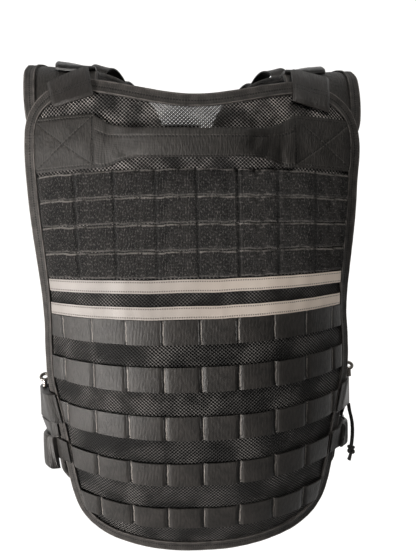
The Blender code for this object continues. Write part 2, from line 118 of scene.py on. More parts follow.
strands = {name: strand_points(shift) for name, shift in (("rear", 0.0), ("front", CORD_SPREAD))}

# %% [markdown]
# The form of the worn vest is the same as the solids': a flat strip down the middle of the
# back, an arc on each side of it, a quarter ellipse up to the shoulder and another one down
# in front. The vest's right shoulder hangs a little lower than the left one.

# %% Form of the back
BACK_Y = -110.0
FLAT = 19.0
UPPER_RADIUS = 300.0
LOWER_RADIUS = 180.0
RIDGE_FROM = -90.0
RIDGE_DEPTH = 80.0
LEVEL_ROW = -224.0
FAN = 0.0765
FAN_WIDTH = 170.0
TILT, TILT_DEPTH = 0.04, 250.0


def smooth(t):
    t = min(max(t, 0.0), 1.0)
    return t * t * (3.0 - 2.0 * t)


def off_ends(share, steep):
    """0 at both ends of a share, and 1 away from them."""
    return smooth(min(share, 1.0 - share) * steep)


def settled(x, y, z):
    """The tilt of the shoulders, which fades out down to TILT_DEPTH under their ridge."""
    share = max(z + TILT_DEPTH, 0.0) / TILT_DEPTH
    return Vector((x, y, z - TILT * x * share))


def back_base(s, v):
    radius = UPPER_RADIUS + (LOWER_RADIUS - UPPER_RADIUS) * smooth((-130.0 - v) / 150.0)
    bend = max(abs(s) - FLAT, 0.0) / radius
    x = min(abs(s), FLAT) + radius * math.sin(bend)
    climb = min(max((v - RIDGE_FROM) / -RIDGE_FROM, 0.0), 0.999)
    shoulder = RIDGE_DEPTH * (1.0 - math.sqrt(1.0 - climb * climb))
    waist = 40.0 * (max(-310.0 - v, 0.0) / 170.0) ** 2
    y = BACK_Y + shoulder + waist + radius * (1.0 - math.cos(bend))
    lift = (LEVEL_ROW - min(v, RIDGE_FROM)) * FAN * (1.0 - 0.7 * climb)
    return settled(math.copysign(x, s), y, v + lift * (s / FAN_WIDTH) ** 2)


def on_back(s, v, d=0.0):
    """A point d outside the back panel, at s across from the middle and height v."""
    across = back_base(s + 0.5, v) - back_base(s - 0.5, v)
    rise = back_base(s, v + 0.5) - back_base(s, v - 0.5)
    return back_base(s, v) + across.cross(rise).normalized() * d


print("middle of the back", [round(value, 1) for value in on_back(0.0, -224.0)])

# %% Form of the front pieces
FRONT_Y = 105.0
FRONT_FLAT = 15.0
FRONT_RADIUS = 165.0
ARCH_RADIUS = 85.0
FRONT_SLACK = 7.0
OUTER_RAISED = 4.5
OUTER_WIDER = {1.0: 5.5, -1.0: 0.5}


def front_arc(x, p):
    """How far the distance x lies from the middle, measured on the cloth."""
    if x <= FRONT_FLAT:
        return x
    arc = FRONT_FLAT + FRONT_RADIUS * math.asin(min((x - FRONT_FLAT) / FRONT_RADIUS, 1.0))
    return arc + (x - arc) * smooth(p / 90.0)


def front_across(a, p):
    low, high = 0.0, FRONT_FLAT + FRONT_RADIUS
    for _ in range(22):
        middle = (low + high) / 2.0
        low, high = (middle, high) if front_arc(middle, p) < a else (low, middle)
    return high


def front_base(a, p):
    x = front_across(a, p)
    front = FRONT_Y - FRONT_RADIUS + math.sqrt(FRONT_RADIUS**2 - max(x - FRONT_FLAT, 0.0) ** 2)
    if p <= 0.0:
        return Vector((x, front, RIDGE_FROM + p))
    arc_rise = UPPER_RADIUS - math.sqrt(UPPER_RADIUS**2 - max(x - FLAT, 0.0) ** 2)
    ridge = BACK_Y + arc_rise + RIDGE_DEPTH
    angle = math.pi - p / ARCH_RADIUS
    climb = math.sin(angle)
    front += 30.0 * (max(x - 120.0, 0.0) / 50.0) ** 2 * smooth(p / 110.0)
    behind = 1.0 if angle < math.pi / 2 else 0.0
    depth = RIDGE_DEPTH if angle <= math.pi / 2 else front - ridge
    share = (1.0 - 0.7 * climb) * behind + 0.3 * (1.0 - behind) * climb
    drop = (LEVEL_ROW - RIDGE_FROM) * FAN * share
    height = RIDGE_FROM * (1.0 - climb) - 4.7 * climb + drop * (x / FAN_WIDTH) ** 2
    return Vector((x, ridge - depth * math.cos(angle), height))


def on_front(a, p, d=0.0, side=1.0):
    """A point d outside the front piece, at a across its cloth and p along it."""
    across = front_base(a + 0.5, p) - front_base(a - 0.5, p)
    rise = front_base(a, p + 0.5) - front_base(a, p - 0.5)
    tuck = 5.6 * smooth((p - 140.0) / 85.0)
    point = front_base(a, p) + rise.cross(across).normalized() * (d - tuck)
    from_inside = a - front_arc(read(front_rows, p, 1), p)
    on_shoulder = smooth((p - 40.0) / 50.0) * (1.0 - smooth((p - 138.0) / 30.0))
    slack = FRONT_SLACK * (1.0 - smooth(from_inside / 34.0)) * on_shoulder
    outer = smooth((point.x - 122.0) / 34.0) * smooth((p - 60.0) / 60.0)
    wider = OUTER_WIDER[side] * outer
    raised = OUTER_RAISED * outer * (1.0 - smooth((p - 170.0) / 40.0))
    return settled((point.x + wider) * side, point.y, point.z - slack + raised)


print("front arc at 100", round(front_arc(100.0, 0.0), 1))

# %% [markdown]
# Outlines are short tables, and a smooth curve is read through their rows, so that the
# sewn edges have no corners. The same reading gives the strips their length at each height.

# %% Outlines
# Columns: height, half width.
BACK_EDGE = (
    (-526.0, 100.0), (-523.0, 112.0), (-517.0, 127.0), (-508.0, 139.0), (-496.0, 147.0),
    (-480.0, 152.0), (-460.0, 156.0), (-440.0, 159.5), (-420.0, 163.0), (-400.0, 166.5),
    (-380.0, 171.0), (-358.0, 178.0), (-338.0, 183.0), (-310.0, 184.0), (-285.0, 183.5),
    (-265.0, 182.0), (-246.0, 178.5), (-227.0, 175.5), (-208.0, 174.0), (-190.0, 173.5),
    (-165.0, 174.0), (-135.0, 175.5), (-108.0, 177.0), (-92.0, 177.5), (-78.0, 177.5),
    (-66.0, 177.0), (-55.0, 176.0), (-43.0, 173.0), (-34.0, 168.0), (-27.0, 161.0),
    (-22.0, 152.0), (-20.0, 142.0),
)
# Columns: way along the piece from where the shoulder's arch starts, then how far its inner
# and its outer edge are from the middle.
FRONT_EDGE = (
    (-394.0, 22.0, 118.0), (-391.0, 11.0, 132.0), (-383.0, 7.0, 145.0),
    (-370.0, 7.0, 154.0), (-350.0, 7.0, 158.5), (-275.0, 7.0, 160.0), (-200.0, 7.0, 160.0),
    (-160.0, 7.0, 158.0), (-135.0, 7.0, 153.0), (-112.0, 7.0, 143.0), (-85.0, 7.0, 134.0),
    (-58.0, 7.0, 128.0), (-42.0, 8.0, 126.0), (-25.0, 13.0, 125.0), (0.0, 21.0, 127.0),
    (20.0, 27.5, 130.0), (40.0, 35.0, 134.0), (60.0, 44.0, 140.0), (78.0, 55.0, 147.5),
    (94.0, 66.0, 155.0), (108.0, 76.5, 160.0), (121.0, 87.0, 165.0), (133.5, 93.5, 168.5),
    (146.0, 96.5, 171.5), (162.0, 98.0, 173.5), (179.0, 98.5, 174.0), (197.0, 99.0, 174.0),
    (215.0, 99.5, 173.0), (230.0, 101.0, 170.5), (240.0, 104.0, 166.0),
    (247.0, 112.0, 156.0),
)


def softened(rows, steps):
    """Rows read from a smooth curve through a table's own rows, steps to each of them."""
    rows = [Vector(row) for row in rows]
    padded = [rows[0] * 2.0 - rows[1], *rows, rows[-1] * 2.0 - rows[-2]]
    out = []
    for a, b, c, d in zip(padded, padded[1:], padded[2:], padded[3:]):
        for step in range(steps):
            t = step / steps
            bend = (2.0 * a - 5.0 * b + 4.0 * c - d) * t * t
            twist = (3.0 * b - a - 3.0 * c + d) * t * t * t
            out.append((2.0 * b + (c - a) * t + bend + twist) * 0.5)
    out.append(rows[-1].copy())
    return out


def read(table, at, column):
    at = min(max(at, table[0][0]), table[-1][0])
    for low, high in zip(table, table[1:]):
        if at <= high[0]:
            share = (at - low[0]) / max(high[0] - low[0], 1e-6)
            return low[column] + (high[column] - low[column]) * share
    return table[-1][column]


back_rows = softened(BACK_EDGE, 4)
front_rows = softened(FRONT_EDGE, 3)
print("rows", len(back_rows), len(front_rows))
print("middle of the front", [round(value, 1) for value in on_front(10.0, -200.0)])

# %% [markdown]
# Shader sums are easier to read as Python than as wires. This small class holds one socket
# of a material, and the usual operators add the Math nodes. Any other node comes from one
# method, which sets the node's settings first and then its sockets.


# %% Shader sums as Python
class Wire:
    """One socket in a material's node tree."""

    def __init__(self, tree, socket=None):
        self.tree = tree
        self.socket = socket

    def made(self, kind, settings=None, values=None, out=0):
        node = self.tree.nodes.new(kind)
        for key, value in (settings or {}).items():
            setattr(node, key, value)
        for key, value in (values or {}).items():
            if isinstance(value, Wire):
                self.tree.links.new(value.socket, node.inputs[key])
            else:
                node.inputs[key].default_value = value
        return Wire(self.tree, node.outputs[out])

    def sum_of(self, operation, first, second=0.0):
        return self.made("ShaderNodeMath", {"operation": operation}, {0: first, 1: second})

    def __add__(self, other):
        return self.sum_of("ADD", self, other)

    def __sub__(self, other):
        return self.sum_of("SUBTRACT", self, other)

    def __rsub__(self, other):
        return self.sum_of("SUBTRACT", other, self)

    def __mul__(self, other):
        return self.sum_of("MULTIPLY", self, other)

    def __truediv__(self, other):
        return self.sum_of("DIVIDE", self, other)

    def __abs__(self):
        return self.sum_of("ABSOLUTE", self)

    __radd__ = __add__

    def larger(self, other):
        return self.sum_of("MAXIMUM", self, other)

    def wave(self, length):
        """A ridge that rises from 0 to 1 and falls again once in every length."""
        return self.sum_of("PINGPONG", self, length / 2.0) * (2.0 / length)

    def within(self, low, high):
        """0 below low, 1 above high, and a smooth step between them."""
        return self.made(
            "ShaderNodeMapRange",
            {"interpolation_type": "SMOOTHSTEP"},
            {0: self, 1: low, 2: high, 3: 0.0, 4: 1.0},
        )

    def short_of(self, low, high):
        """1 below low, 0 above high."""
        return 1.0 - self.within(low, high)

    def near(self, place, reach):
        """1 at the place and 0 beyond the reach."""
        return abs(self - place).short_of(reach * 0.5, reach)

    def from_tack(self, pitch):
        """The way to the nearest of the tacks at every pitch from 0, with its sign."""
        turns = self / pitch + 0.5
        return (turns.sum_of("FRACT", turns) - 0.5) * pitch

    def blend(self, first, second):
        """A colour: the first where this is 0, the second where it is 1."""
        first = (*first, 1.0) if isinstance(first, tuple) else first
        second = (*second, 1.0) if isinstance(second, tuple) else second
        values = {0: self, 6: first, 7: second}
        return self.made("ShaderNodeMix", {"data_type": "RGBA"}, values, out=2)


print("operators ready")

# %% [markdown]
# A finish starts from a Principled shader. Cloth reads its own pattern in millimetres: x runs
# along the piece and y across it. Hard pieces read Object coordinates.


# %% Start of every finish
class Finish:
    """A material, its pattern coordinates in millimetres, and its shader."""

    def __init__(self, name, on_cloth=True):
        self.material = bpy.data.materials.new(name)
        self.material.use_nodes = True
        tree = self.material.node_tree
        self.shader = tree.nodes["Principled BSDF"]
        self.start = Wire(tree)
        if on_cloth:
            place = self.start.made("ShaderNodeUVMap", {"uv_map": "cloth"})
        else:
            place = self.start.made("ShaderNodeTexCoord", out=3)
        self.place = self.start.made(
            "ShaderNodeVectorMath", {"operation": "SCALE"}, {0: place, "Scale": 1000.0}
        )
        self.x = self.start.made("ShaderNodeSeparateXYZ", {}, {0: self.place}, 0)
        self.y = self.start.made("ShaderNodeSeparateXYZ", {}, {0: self.place}, 1)

    def grain(self, size, detail=2.0, stretch=(1.0, 1.0, 1.0)):
        """Soft noise whose patches are about size millimetres across."""
        scale = tuple(part / size for part in stretch)
        scaled = self.start.made("ShaderNodeMapping", {}, {0: self.place, "Scale": scale})
        values = {"Vector": scaled, "Scale": 1.0, "Detail": detail}
        return self.start.made("ShaderNodeTexNoise", {}, values)

    def stitches(self, off, along, pitch, width=0.55):
        """A row of stitches: off is the distance to their line, along the way along it."""
        return abs(off).short_of(width * 0.6, width) * along.wave(pitch).within(0.25, 0.55)

    def close(self, colour, roughness, height, depth, alpha=None, **fixed):
        """Joins the sums to the shader; depth is the relief's own, in millimetres."""
        links = self.material.node_tree.links
        links.new(colour.socket, self.shader.inputs["Base Color"])
        if isinstance(roughness, Wire):
            links.new(roughness.socket, self.shader.inputs["Roughness"])
        else:
            self.shader.inputs["Roughness"].default_value = roughness
        bump = self.start.made(
            "ShaderNodeBump", {}, {"Height": height, "Strength": 1.0, "Distance": depth * MM}
        )
        links.new(bump.socket, self.shader.inputs["Normal"])
        if alpha is not None:
            links.new(alpha.socket, self.shader.inputs["Alpha"])
        for socket, value in fixed.items():
            self.shader.inputs[socket.replace("_", " ")].default_value = value
        return self.material


print("finishes start here")

# %% [markdown]
# The net is knitted: threads cross in a slant, about four millimetres apart, and leave open
# diamonds. The holes are the shader's Alpha, so the inside shows through them, and where the
# light gets in behind, they glow. The same net lies over a dark cloth in front.


# %% Net
def net_finish(name, thread, pitch, backing=None):
    """A net; backing gives the share of each spot that is closed behind the threads."""
    net = Finish(name)
    drift = net.grain(60.0) * 1.8
    slant = (net.x + net.y * 1.08 + drift).wave(pitch)
    other = (net.x - net.y * 1.08 + drift).wave(pitch)
    threads = slant.larger(other)
    knots = (slant * other).within(0.2, 0.75)
    cover = threads.within(0.74, 0.84)
    held = threads.within(0.50, 0.62)
    # Painted sheen on the black threads: their colour is lighter in patches, at the knots and along
    # one slant.
    glint_patches = net.grain(34.0, 3.0).within(0.38, 0.66)
    lean = slant.within(0.6, 0.9) * net.grain(52.0).within(0.44, 0.58)
    bright = (glint_patches * 0.88 + 0.12) * (0.3 + knots * 0.35 + lean * 0.55)
    sheen = bright.blend(*thread)
    # Painted shade: the net is drawn darker, down to 28 percent, from the height -150 mm to -255 mm
    # and below, where the rows over it shade it.
    shade = net.y.within(-255.0, -150.0) * 0.72 + 0.28
    colour = (cover * shade).blend((0.002, 0.002, 0.002), sheen)
    alpha = held if backing is None else held.larger(backing(net))
    return net.close(colour, 0.6, threads.within(0.45, 0.95) + knots * 0.5, 0.5, alpha=alpha)


def closed_behind(net):
    """The inside is lined, but for the top middle, where light comes through the net."""
    window = abs(net.x - 2.0).short_of(52.0, 62.0) * net.y.within(-150.0, -142.0)
    patch = abs(net.x + 13.0).short_of(18.0, 20.0) * net.y.short_of(-67.0, -66.0)
    return (1.0 - window).larger(patch)


def closed_everywhere(net):
    return net.x * 0.0 + 1.0


NET_PITCH = 3.9
# The outside threads' near-white colour is a painted sheen on black thread.
OUTSIDE_COLOURS = ((0.008, 0.008, 0.008), (0.95, 0.90, 0.86))
INSIDE_COLOURS = ((0.003, 0.003, 0.003), (0.010, 0.010, 0.009))
LINED_COLOURS = ((0.020, 0.019, 0.018), (0.16, 0.15, 0.14))
net_outside = net_finish("net_outside", OUTSIDE_COLOURS, NET_PITCH)
net_inside = net_finish("net_inside", INSIDE_COLOURS, NET_PITCH / 2.0, closed_behind)
net_lined = net_finish("net_lined", LINED_COLOURS, NET_PITCH, closed_everywhere)
print("net materials", net_outside.name, net_lined.name)

# %% [markdown]
# The edge tape is folded round the panels' edges. It is ribbed across, has one row of
# stitches down its middle, and a raised light cord along each rim. On its pattern, y is the
# distance from the edge of the panel.

# %% Edge tape
TAPE_COLOURS = ((0.022, 0.020, 0.019), (0.088, 0.080, 0.074))
edge = Finish("edge_tape")
ribs = edge.x.wave(1.3)
rim_cords = edge.y.near(10.4, 0.8).larger(edge.y.near(-0.1, 0.9))
rim_cords = rim_cords * edge.grain(14.0).within(0.3, 0.6)
middle_thread = edge.stitches(edge.y - 5.6, edge.x, 2.9, 0.9)
stipple = edge.x.wave(2.4).within(0.4, 0.8) * edge.y.wave(2.9).within(0.3, 0.7)
worn = edge.grain(9.0, 3.0).within(0.3, 0.72)
colour = (worn * 0.5 + ribs * 0.2 + stipple * 0.3).blend(*TAPE_COLOURS)
colour = (rim_cords * 0.75).blend(colour, (0.19, 0.172, 0.16))
colour = (middle_thread * 0.85).blend(colour, (0.004, 0.004, 0.004))
relief = ribs * 0.35 + stipple * 0.5 + rim_cords * 1.2 + edge.grain(1.4) * 0.4 - middle_thread * 0.9
edge_tape = edge.close(colour, 0.72, relief, 0.35)
print("edge tape ready")

# %% [markdown]
# Webbing is woven nylon: ribs across it, finer lines along it and a slight satin. On the
# rows, x is the distance from the vest's middle, so the tacks stand at every 38 millimetres.
# Each is a painted highlight on the tack thread beside a pressed line with painted shadow,
# and a dark knot at both ends.

# %% Webbing
CELL = 38.0


def webbing_finish(name, colours, tack_pitch=0.0, lines=()):
    """Webbing with tacks across it, or with lines of stitches along it at these heights."""
    cloth = Finish(name)
    ribs = cloth.x.wave(1.5)
    fine = cloth.y.wave(0.9)
    worn = cloth.grain(30.0, 3.0).within(0.25, 0.8)
    woven = cloth.grain(2.2, 2.0, (1.0, 0.35, 1.0)).within(0.35, 0.68)
    colour = (worn * 0.45 + woven * 0.3 + ribs * 0.15 + fine * 0.1).blend(*colours)
    relief = ribs * 0.35 + fine * 0.25 + woven * 0.4 + cloth.grain(11.0) * 0.9
    if tack_pitch:
        off = cloth.x.from_tack(tack_pitch) + (cloth.grain(7.0) - 0.5) * 2.2
        ends = cloth.y.near(1.2, 2.4).larger(cloth.y.near(WEBBING_WIDTH - 1.2, 2.4))
        pressed_groove_and_shadow = off.near(-1.1, 1.3)
        bar = off.near(0.5, 1.0)
        thread = bar * cloth.y.wave(1.2).within(0.05, 0.45)
        patchy = cloth.grain(12.0).within(0.35, 0.6)
        knot = abs(off).short_of(1.4, 2.4) * ends
        # Painted shadow in the pressed line beside each tack, and a painted highlight on its thread
        # bar.
        colour = (pressed_groove_and_shadow * 0.8).blend(colour, (0.003, 0.003, 0.003))
        colour = (thread * (patchy * 0.5 + 0.5)).blend(colour, (0.36, 0.33, 0.305))
        tangled = knot * cloth.grain(1.6).within(0.4, 0.6) * 0.8
        colour = tangled.blend(colour, (0.004, 0.004, 0.004))
        relief = relief + bar * 1.1 - pressed_groove_and_shadow * 1.4 + knot
    for at in lines:
        sewn = cloth.stitches(cloth.y - at, cloth.x, 2.8, 0.7)
        colour = (sewn * 0.7).blend(colour, (0.005, 0.005, 0.005))
        relief = relief - sewn
    return cloth.close(colour, 0.46, relief, 0.3)


WEBBING_WIDTH = 25.5
WEBBING_COLOURS = ((0.011, 0.011, 0.0105), (0.062, 0.056, 0.052))
TAB_COLOURS = ((0.020, 0.018, 0.017), (0.052, 0.047, 0.044))
row_webbing = webbing_finish("row_webbing", WEBBING_COLOURS, CELL)
plain_webbing = webbing_finish("plain_webbing", WEBBING_COLOURS, lines=(2.0,))
tab_webbing = webbing_finish("tab_webbing", TAB_COLOURS, lines=(13.0, 16.5))
print("webbing ready")

# %% [markdown]
# Pack cloth is a plain weave. The handle's two patches have a row of stitches inside their
# border and a cross from corner to corner. The distance to a slanting line is a sum of x and
# y, so each arm of the cross is one more row of stitches.

# %% Pack cloth and the handle's cloth
PATCH_WIDTH, PATCH_HEIGHT = 69.0, 51.5
PATCH_SEAM = 3.0
CROSS_INSET = 5.0
PACK_COLOURS = ((0.013, 0.012, 0.011), (0.052, 0.047, 0.043))
LINING_COLOURS = ((0.005, 0.005, 0.005), (0.010, 0.010, 0.009))


def pack_finish(name, colours, rows_of_stitches):
    cloth = Finish(name)
    weave = cloth.x.wave(1.2) * 0.5 + cloth.y.wave(1.2) * 0.5
    worn = cloth.grain(22.0, 3.0).within(0.25, 0.8)
    ribbed = cloth.grain(2.6, 2.0, (1.6, 0.45, 1.0)).within(0.36, 0.66)
    colour = (worn * 0.45 + ribbed * 0.4 + weave * 0.15).blend(*colours)
    relief = weave * 0.4 + ribbed * 0.5 + cloth.grain(14.0) * 0.9
    for off, along in rows_of_stitches(cloth):
        sewn = cloth.stitches(off, along, 3.3, 0.8) * cloth.grain(11.0).within(0.3, 0.55)
        # The light dotted line beside each row of dark stitches is a painted highlight along the
        # stitches.
        raised = cloth.stitches(off - 0.9, along, 3.3, 0.5) * 0.4
        groove = abs(off).short_of(0.6, 2.0) * 0.5
        colour = (sewn * 0.85).blend(colour, (0.004, 0.004, 0.004))
        colour = raised.blend(colour, (0.11, 0.10, 0.09))
        relief = relief - sewn * 0.8 - groove * 0.8
    return cloth.close(colour, 0.62, relief, 0.45)


def patch_rows(cloth):
    wide, high = PATCH_WIDTH - 2.0 * CROSS_INSET, PATCH_HEIGHT - 2.0 * CROSS_INSET
    up_x, up_y = high / math.hypot(wide, high), wide / math.hypot(wide, high)
    middle_x, middle_y = cloth.x - PATCH_WIDTH / 2.0, cloth.y - PATCH_HEIGHT / 2.0
    return (
        (cloth.x - PATCH_SEAM, cloth.y),
        (cloth.x - (PATCH_WIDTH - PATCH_SEAM), cloth.y),
        (cloth.y - PATCH_SEAM, cloth.x),
        (cloth.y - (PATCH_HEIGHT - PATCH_SEAM), cloth.x),
        (middle_x * up_x - middle_y * up_y, middle_x),
        (middle_x * up_x + middle_y * up_y, middle_x),
    )


def grip_rows(cloth):
    return ((cloth.y - 18.6, cloth.x), (cloth.y - 1.6, cloth.x))


patch_cloth = pack_finish("patch_cloth", PACK_COLOURS, patch_rows)
grip_cloth = pack_finish("grip_cloth", PACK_COLOURS, grip_rows)
yoke_cloth = pack_finish("yoke_cloth", PACK_COLOURS, lambda cloth: ((cloth.y - 118.0, cloth.x),))
lining_cloth = pack_finish("lining_cloth", LINING_COLOURS, lambda cloth: ())
print("pack cloth ready")

# %% [markdown]
# Loop pile is a felt of tiny nylon loops. Close up it is a mass of light specks on dark, and
# the loops along each band's edges catch the light, which is painted here as light edges. The
# shape gets small points as well, so this finish only adds the specks, the streaks, the
# painted light edges and painted shade where the bands are sewn down. y is 0 at a band's foot.

# %% Loop pile
LOOP_HEIGHT = 26.7
LOOP_CELL = 41.0
pile = Finish("loop_pile")
specks = pile.grain(1.3, 3.0, (1.0, 0.55, 1.0)).within(0.52, 0.72)
streaks = pile.grain(12.0, 3.0, (1.0, 0.4, 1.0)).within(0.36, 0.66)
across = pile.y + (pile.grain(16.0) - 0.5) * 3.4
edges = across.near(LOOP_HEIGHT - 1.1, 1.2).larger(across.near(1.0, 0.9) * 0.6)
broken = pile.grain(38.0).within(0.36, 0.6) * 0.6 + 0.4
edges = edges * pile.grain(3.0, 3.0).within(0.3, 0.5) * broken
off = abs((pile.x + (pile.grain(9.0) - 0.5) * 5.0).from_tack(LOOP_CELL))
sewn_dip_and_shade = off.short_of(0.6, 3.0) * (pile.grain(24.0).within(0.36, 0.6) * 0.6 + 0.4)
colour = streaks.blend((0.004, 0.004, 0.004), (0.024, 0.022, 0.021))
colour = (specks * 0.7).blend(colour, (0.24, 0.222, 0.21))
colour = (edges * 0.85).blend(colour, (0.30, 0.28, 0.262))
# Painted shade in the dips where the bands are sewn down.
colour = (sewn_dip_and_shade * 0.8).blend(colour, (0.003, 0.003, 0.003))
relief = pile.grain(1.0, 2.0) + specks * 0.6 - sewn_dip_and_shade
loop_pile = pile.close(colour, 0.9, relief, 0.9, Sheen_Weight=0.15)
print("loop pile ready")

# %% [markdown]
# The light tape is a grey film on cloth, with a fine slanting weave, soft buckles with painted
# shade in them, and a row of needle holes near each edge. It sends some light straight back,
# which a faint glow stands in for, and its colour and glow are painted brighter and warmer
# towards its right end. y is 0 at its lower edge.

# %% Light tape
TAPE_WIDTH = 13.3
film = Finish("light_tape")
weave = (film.x + film.y).wave(1.1)
buckles = film.grain(36.0, 2.0, (1.0, 0.25, 1.0)).within(0.3, 0.72)
holes = film.stitches(film.y - 2.0, film.x, 2.4, 0.65).larger(
    film.stitches(film.y - (TAPE_WIDTH - 2.0), film.x, 2.4, 0.65)
)
# Painted light: the tape's colour and its glow grow brighter and warmer towards its right end.
painted_light_to_right = film.x.within(-120.0, 170.0)
lit = painted_light_to_right.blend((0.42, 0.39, 0.37), (0.86, 0.76, 0.67))
shaded = painted_light_to_right.blend((0.33, 0.30, 0.28), (0.60, 0.51, 0.44))
colour = (buckles * 0.75 + weave * 0.25).blend(shaded, lit)
colour = (holes * 0.8).blend(colour, (0.11, 0.095, 0.085))
returned = (painted_light_to_right * (1.0 - holes)).blend((0.0, 0.0, 0.0), (1.0, 0.84, 0.71))
film.material.node_tree.links.new(returned.socket, film.shader.inputs["Emission Color"])
relief = weave * 0.15 + buckles * 1.6 - holes
light_tape = film.close(colour, 0.5, relief, 0.4, Emission_Strength=0.11)
print("light tape ready")

# %% [markdown]
# The hard pieces are moulded plastic and bright wire. Both need something uneven: the
# plastic a fine grain and rubbed patches, the wire fine scratches and dull spots.

# %% Plastic, wire and cord
plastic = Finish("moulded_plastic", on_cloth=False)
rubbed = plastic.grain(7.0, 4.0).within(0.4, 0.75)
black_plastic = plastic.close(
    rubbed.blend((0.014, 0.014, 0.014), (0.050, 0.048, 0.046)),
    0.5 - rubbed * 0.18,
    plastic.grain(0.5, 2.0),
    0.06,
)
wire = Finish("bright_wire", on_cloth=False)
dull = wire.grain(1.6, 4.0).within(0.35, 0.7)
bright_wire = wire.close(
    dull.blend((0.42, 0.385, 0.355), (0.10, 0.09, 0.08)),
    dull * 0.3 + 0.22,
    wire.grain(0.4, 3.0),
    0.05,
    Metallic=0.55,
)
braid = Finish("braided_cord", on_cloth=False)
height = braid.start.made("ShaderNodeSeparateXYZ", {}, {0: braid.place}, 2)
plaits = (height + braid.x * 0.9).wave(1.6).larger((height - braid.x * 0.9).wave(1.6))
colour = plaits.blend((0.006, 0.006, 0.006), (0.032, 0.030, 0.029))
cord_cloth = braid.close(colour, 0.8, plaits + braid.grain(0.7), 0.35)
print("hard finishes ready")

# %% [markdown]
# One helper makes most of the vest. It starts from a flat grid, pulls a second layer off it
# to give the cloth its thickness, notes each corner's place on the pattern, and lays every
# corner where the piece's own rule says. The rule gets the shares across and along, and 0
# for the layer on the body or 1 for the outer one.

# %% Cloth laid on the form
SIDES = (("left", -1.0), ("right", 1.0))
pieces = []


def keep(made, slot, *nodes):
    """Fixes a finished piece to the vest and hides the solids it stands for; slot is not used."""
    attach(made, "root")
    if nodes:
        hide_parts(*nodes)
    pieces.append(made)
    return made


def object_from(bm, name, finishes, smooth_angle):
    """An object from a finished bmesh, smooth but for edges sharper than the angle."""
    mesh = bpy.data.meshes.new(name)
    bm.to_mesh(mesh)
    bm.free()
    mesh.shade_smooth()
    mesh.set_sharp_from_angle(angle=math.radians(smooth_angle))
    for finish in finishes:
        mesh.materials.append(finish)
    made = bpy.data.objects.new(name, mesh)
    bpy.context.scene.collection.objects.link(made)
    return made


def mark_pattern(bm, pattern, shares):
    layer = bm.loops.layers.uv.new("cloth")
    for face in bm.faces:
        for loop in face.loops:
            x, y = pattern(*shares[loop.vert.index])
            loop[layer].uv = (x * MM, y * MM)


def lay(name, across, along, place, pattern, finishes, pick=None, tufts=0.0, smooth_angle=45.0):
    """A thick cloth piece; pick chooses a finish for each outer face from its shares."""
    bm = bmesh.new()
    bmesh.ops.create_grid(bm, x_segments=across, y_segments=along, size=0.5)
    flat = list(bm.faces)
    grown = bmesh.ops.extrude_face_region(bm, geom=flat)
    outer = [item for item in grown["geom"] if isinstance(item, bmesh.types.BMVert)]
    bmesh.ops.translate(bm, vec=(0.0, 0.0, 1.0), verts=outer)
    outer_faces = [face for face in bm.faces if all(vert.co.z > 0.5 for vert in face.verts)]
    if tufts:
        bmesh.ops.poke(bm, faces=outer_faces, offset=tufts, center_mode="MEAN")
    bm.verts.index_update()
    shares = [(vert.co.x + 0.5, vert.co.y + 0.5) for vert in bm.verts]
    mark_pattern(bm, pattern, shares)
    for face in bm.faces:
        layer = sum(vert.co.z for vert in face.verts) / len(face.verts)
        if layer < 0.25 and len(finishes) > 1:
            face.material_index = 1
        elif pick:
            middle = face.calc_center_median()
            face.material_index = pick(middle.x + 0.5, middle.y + 0.5)
    for vert in bm.verts:
        vert.co = place(vert.co.x + 0.5, vert.co.y + 0.5, vert.co.z) * MM
    bmesh.ops.recalc_face_normals(bm, faces=bm.faces)
    return object_from(bm, name, finishes, smooth_angle)


def sweep(name, stations, corners, place, pattern, finishes, ring=True):
    """A closed section carried along stations, round in a ring or capped at its ends."""
    bm = bmesh.new()
    bmesh.ops.create_grid(bm, x_segments=stations, y_segments=corners, size=0.5)
    bm.verts.index_update()
    shares = [(vert.co.x + 0.5, vert.co.y + 0.5) for vert in bm.verts]
    mark_pattern(bm, pattern, shares)
    for vert in bm.verts:
        vert.co = place(vert.co.x + 0.5, vert.co.y + 0.5) * MM
    bmesh.ops.remove_doubles(bm, verts=bm.verts, dist=0.005 * MM)
    if not ring:
        bmesh.ops.holes_fill(bm, edges=bm.edges, sides=0)
    bmesh.ops.recalc_face_normals(bm, faces=bm.faces)
    return object_from(bm, name, finishes, 60.0)


def ripple(x, y, size, seed=0.0):
    """Soft noise from -1 to 1, the same on every run."""
    return noise.noise(Vector((x / size, y / size, seed)))


def sized(width, height):
    """The pattern of a plain rectangle."""
    return lambda u, w: (width * u, height * w)


def from_tack(s, cell):
    """The distance from s to the nearest of the tacks that stand at every cell."""
    return abs((s / cell + 0.5) % 1.0 - 0.5) * cell


print("helpers ready")

# %% [markdown]
# The back panel is one piece of net. Its neck edge dips in the middle and its hem bows down,
# and between the sewn rows the net swells a little, which breaks up the light on it.

# %% Back net
NET_THICK = 1.6
NECK_DIP, HEM_BOW = 18.0, 6.0
CORNER_DROP = 10.0
HEM_RAISED = 3.8
RIGHT_NARROWER = 3.0


def back_spot(s_share, row):
    """The place of a share across the panel, from -1 to 1, in one of its rows."""
    height, half = back_rows[row]
    if s_share > 0.0:
        waist = smooth((height + 320.0) / 60.0) * (1.0 - smooth((height + 120.0) / 50.0))
        half -= RIGHT_NARROWER * waist
    s = s_share * half
    neck = NECK_DIP * (1.0 - smooth(abs(s) / 125.0)) * smooth((height + 110.0) / 90.0)
    hem = HEM_BOW * (1.0 - (s / 100.0) ** 2) * smooth((-456.0 - height) / 70.0)
    corner = CORNER_DROP * smooth((abs(s) - 105.0) / 60.0) * smooth((height + 90.0) / 60.0)
    shorter = HEM_RAISED * smooth((-455.0 - height) / 60.0)
    return Vector((s, height - neck - max(hem, 0.0) - corner + shorter))


back_last = len(back_rows) - 1


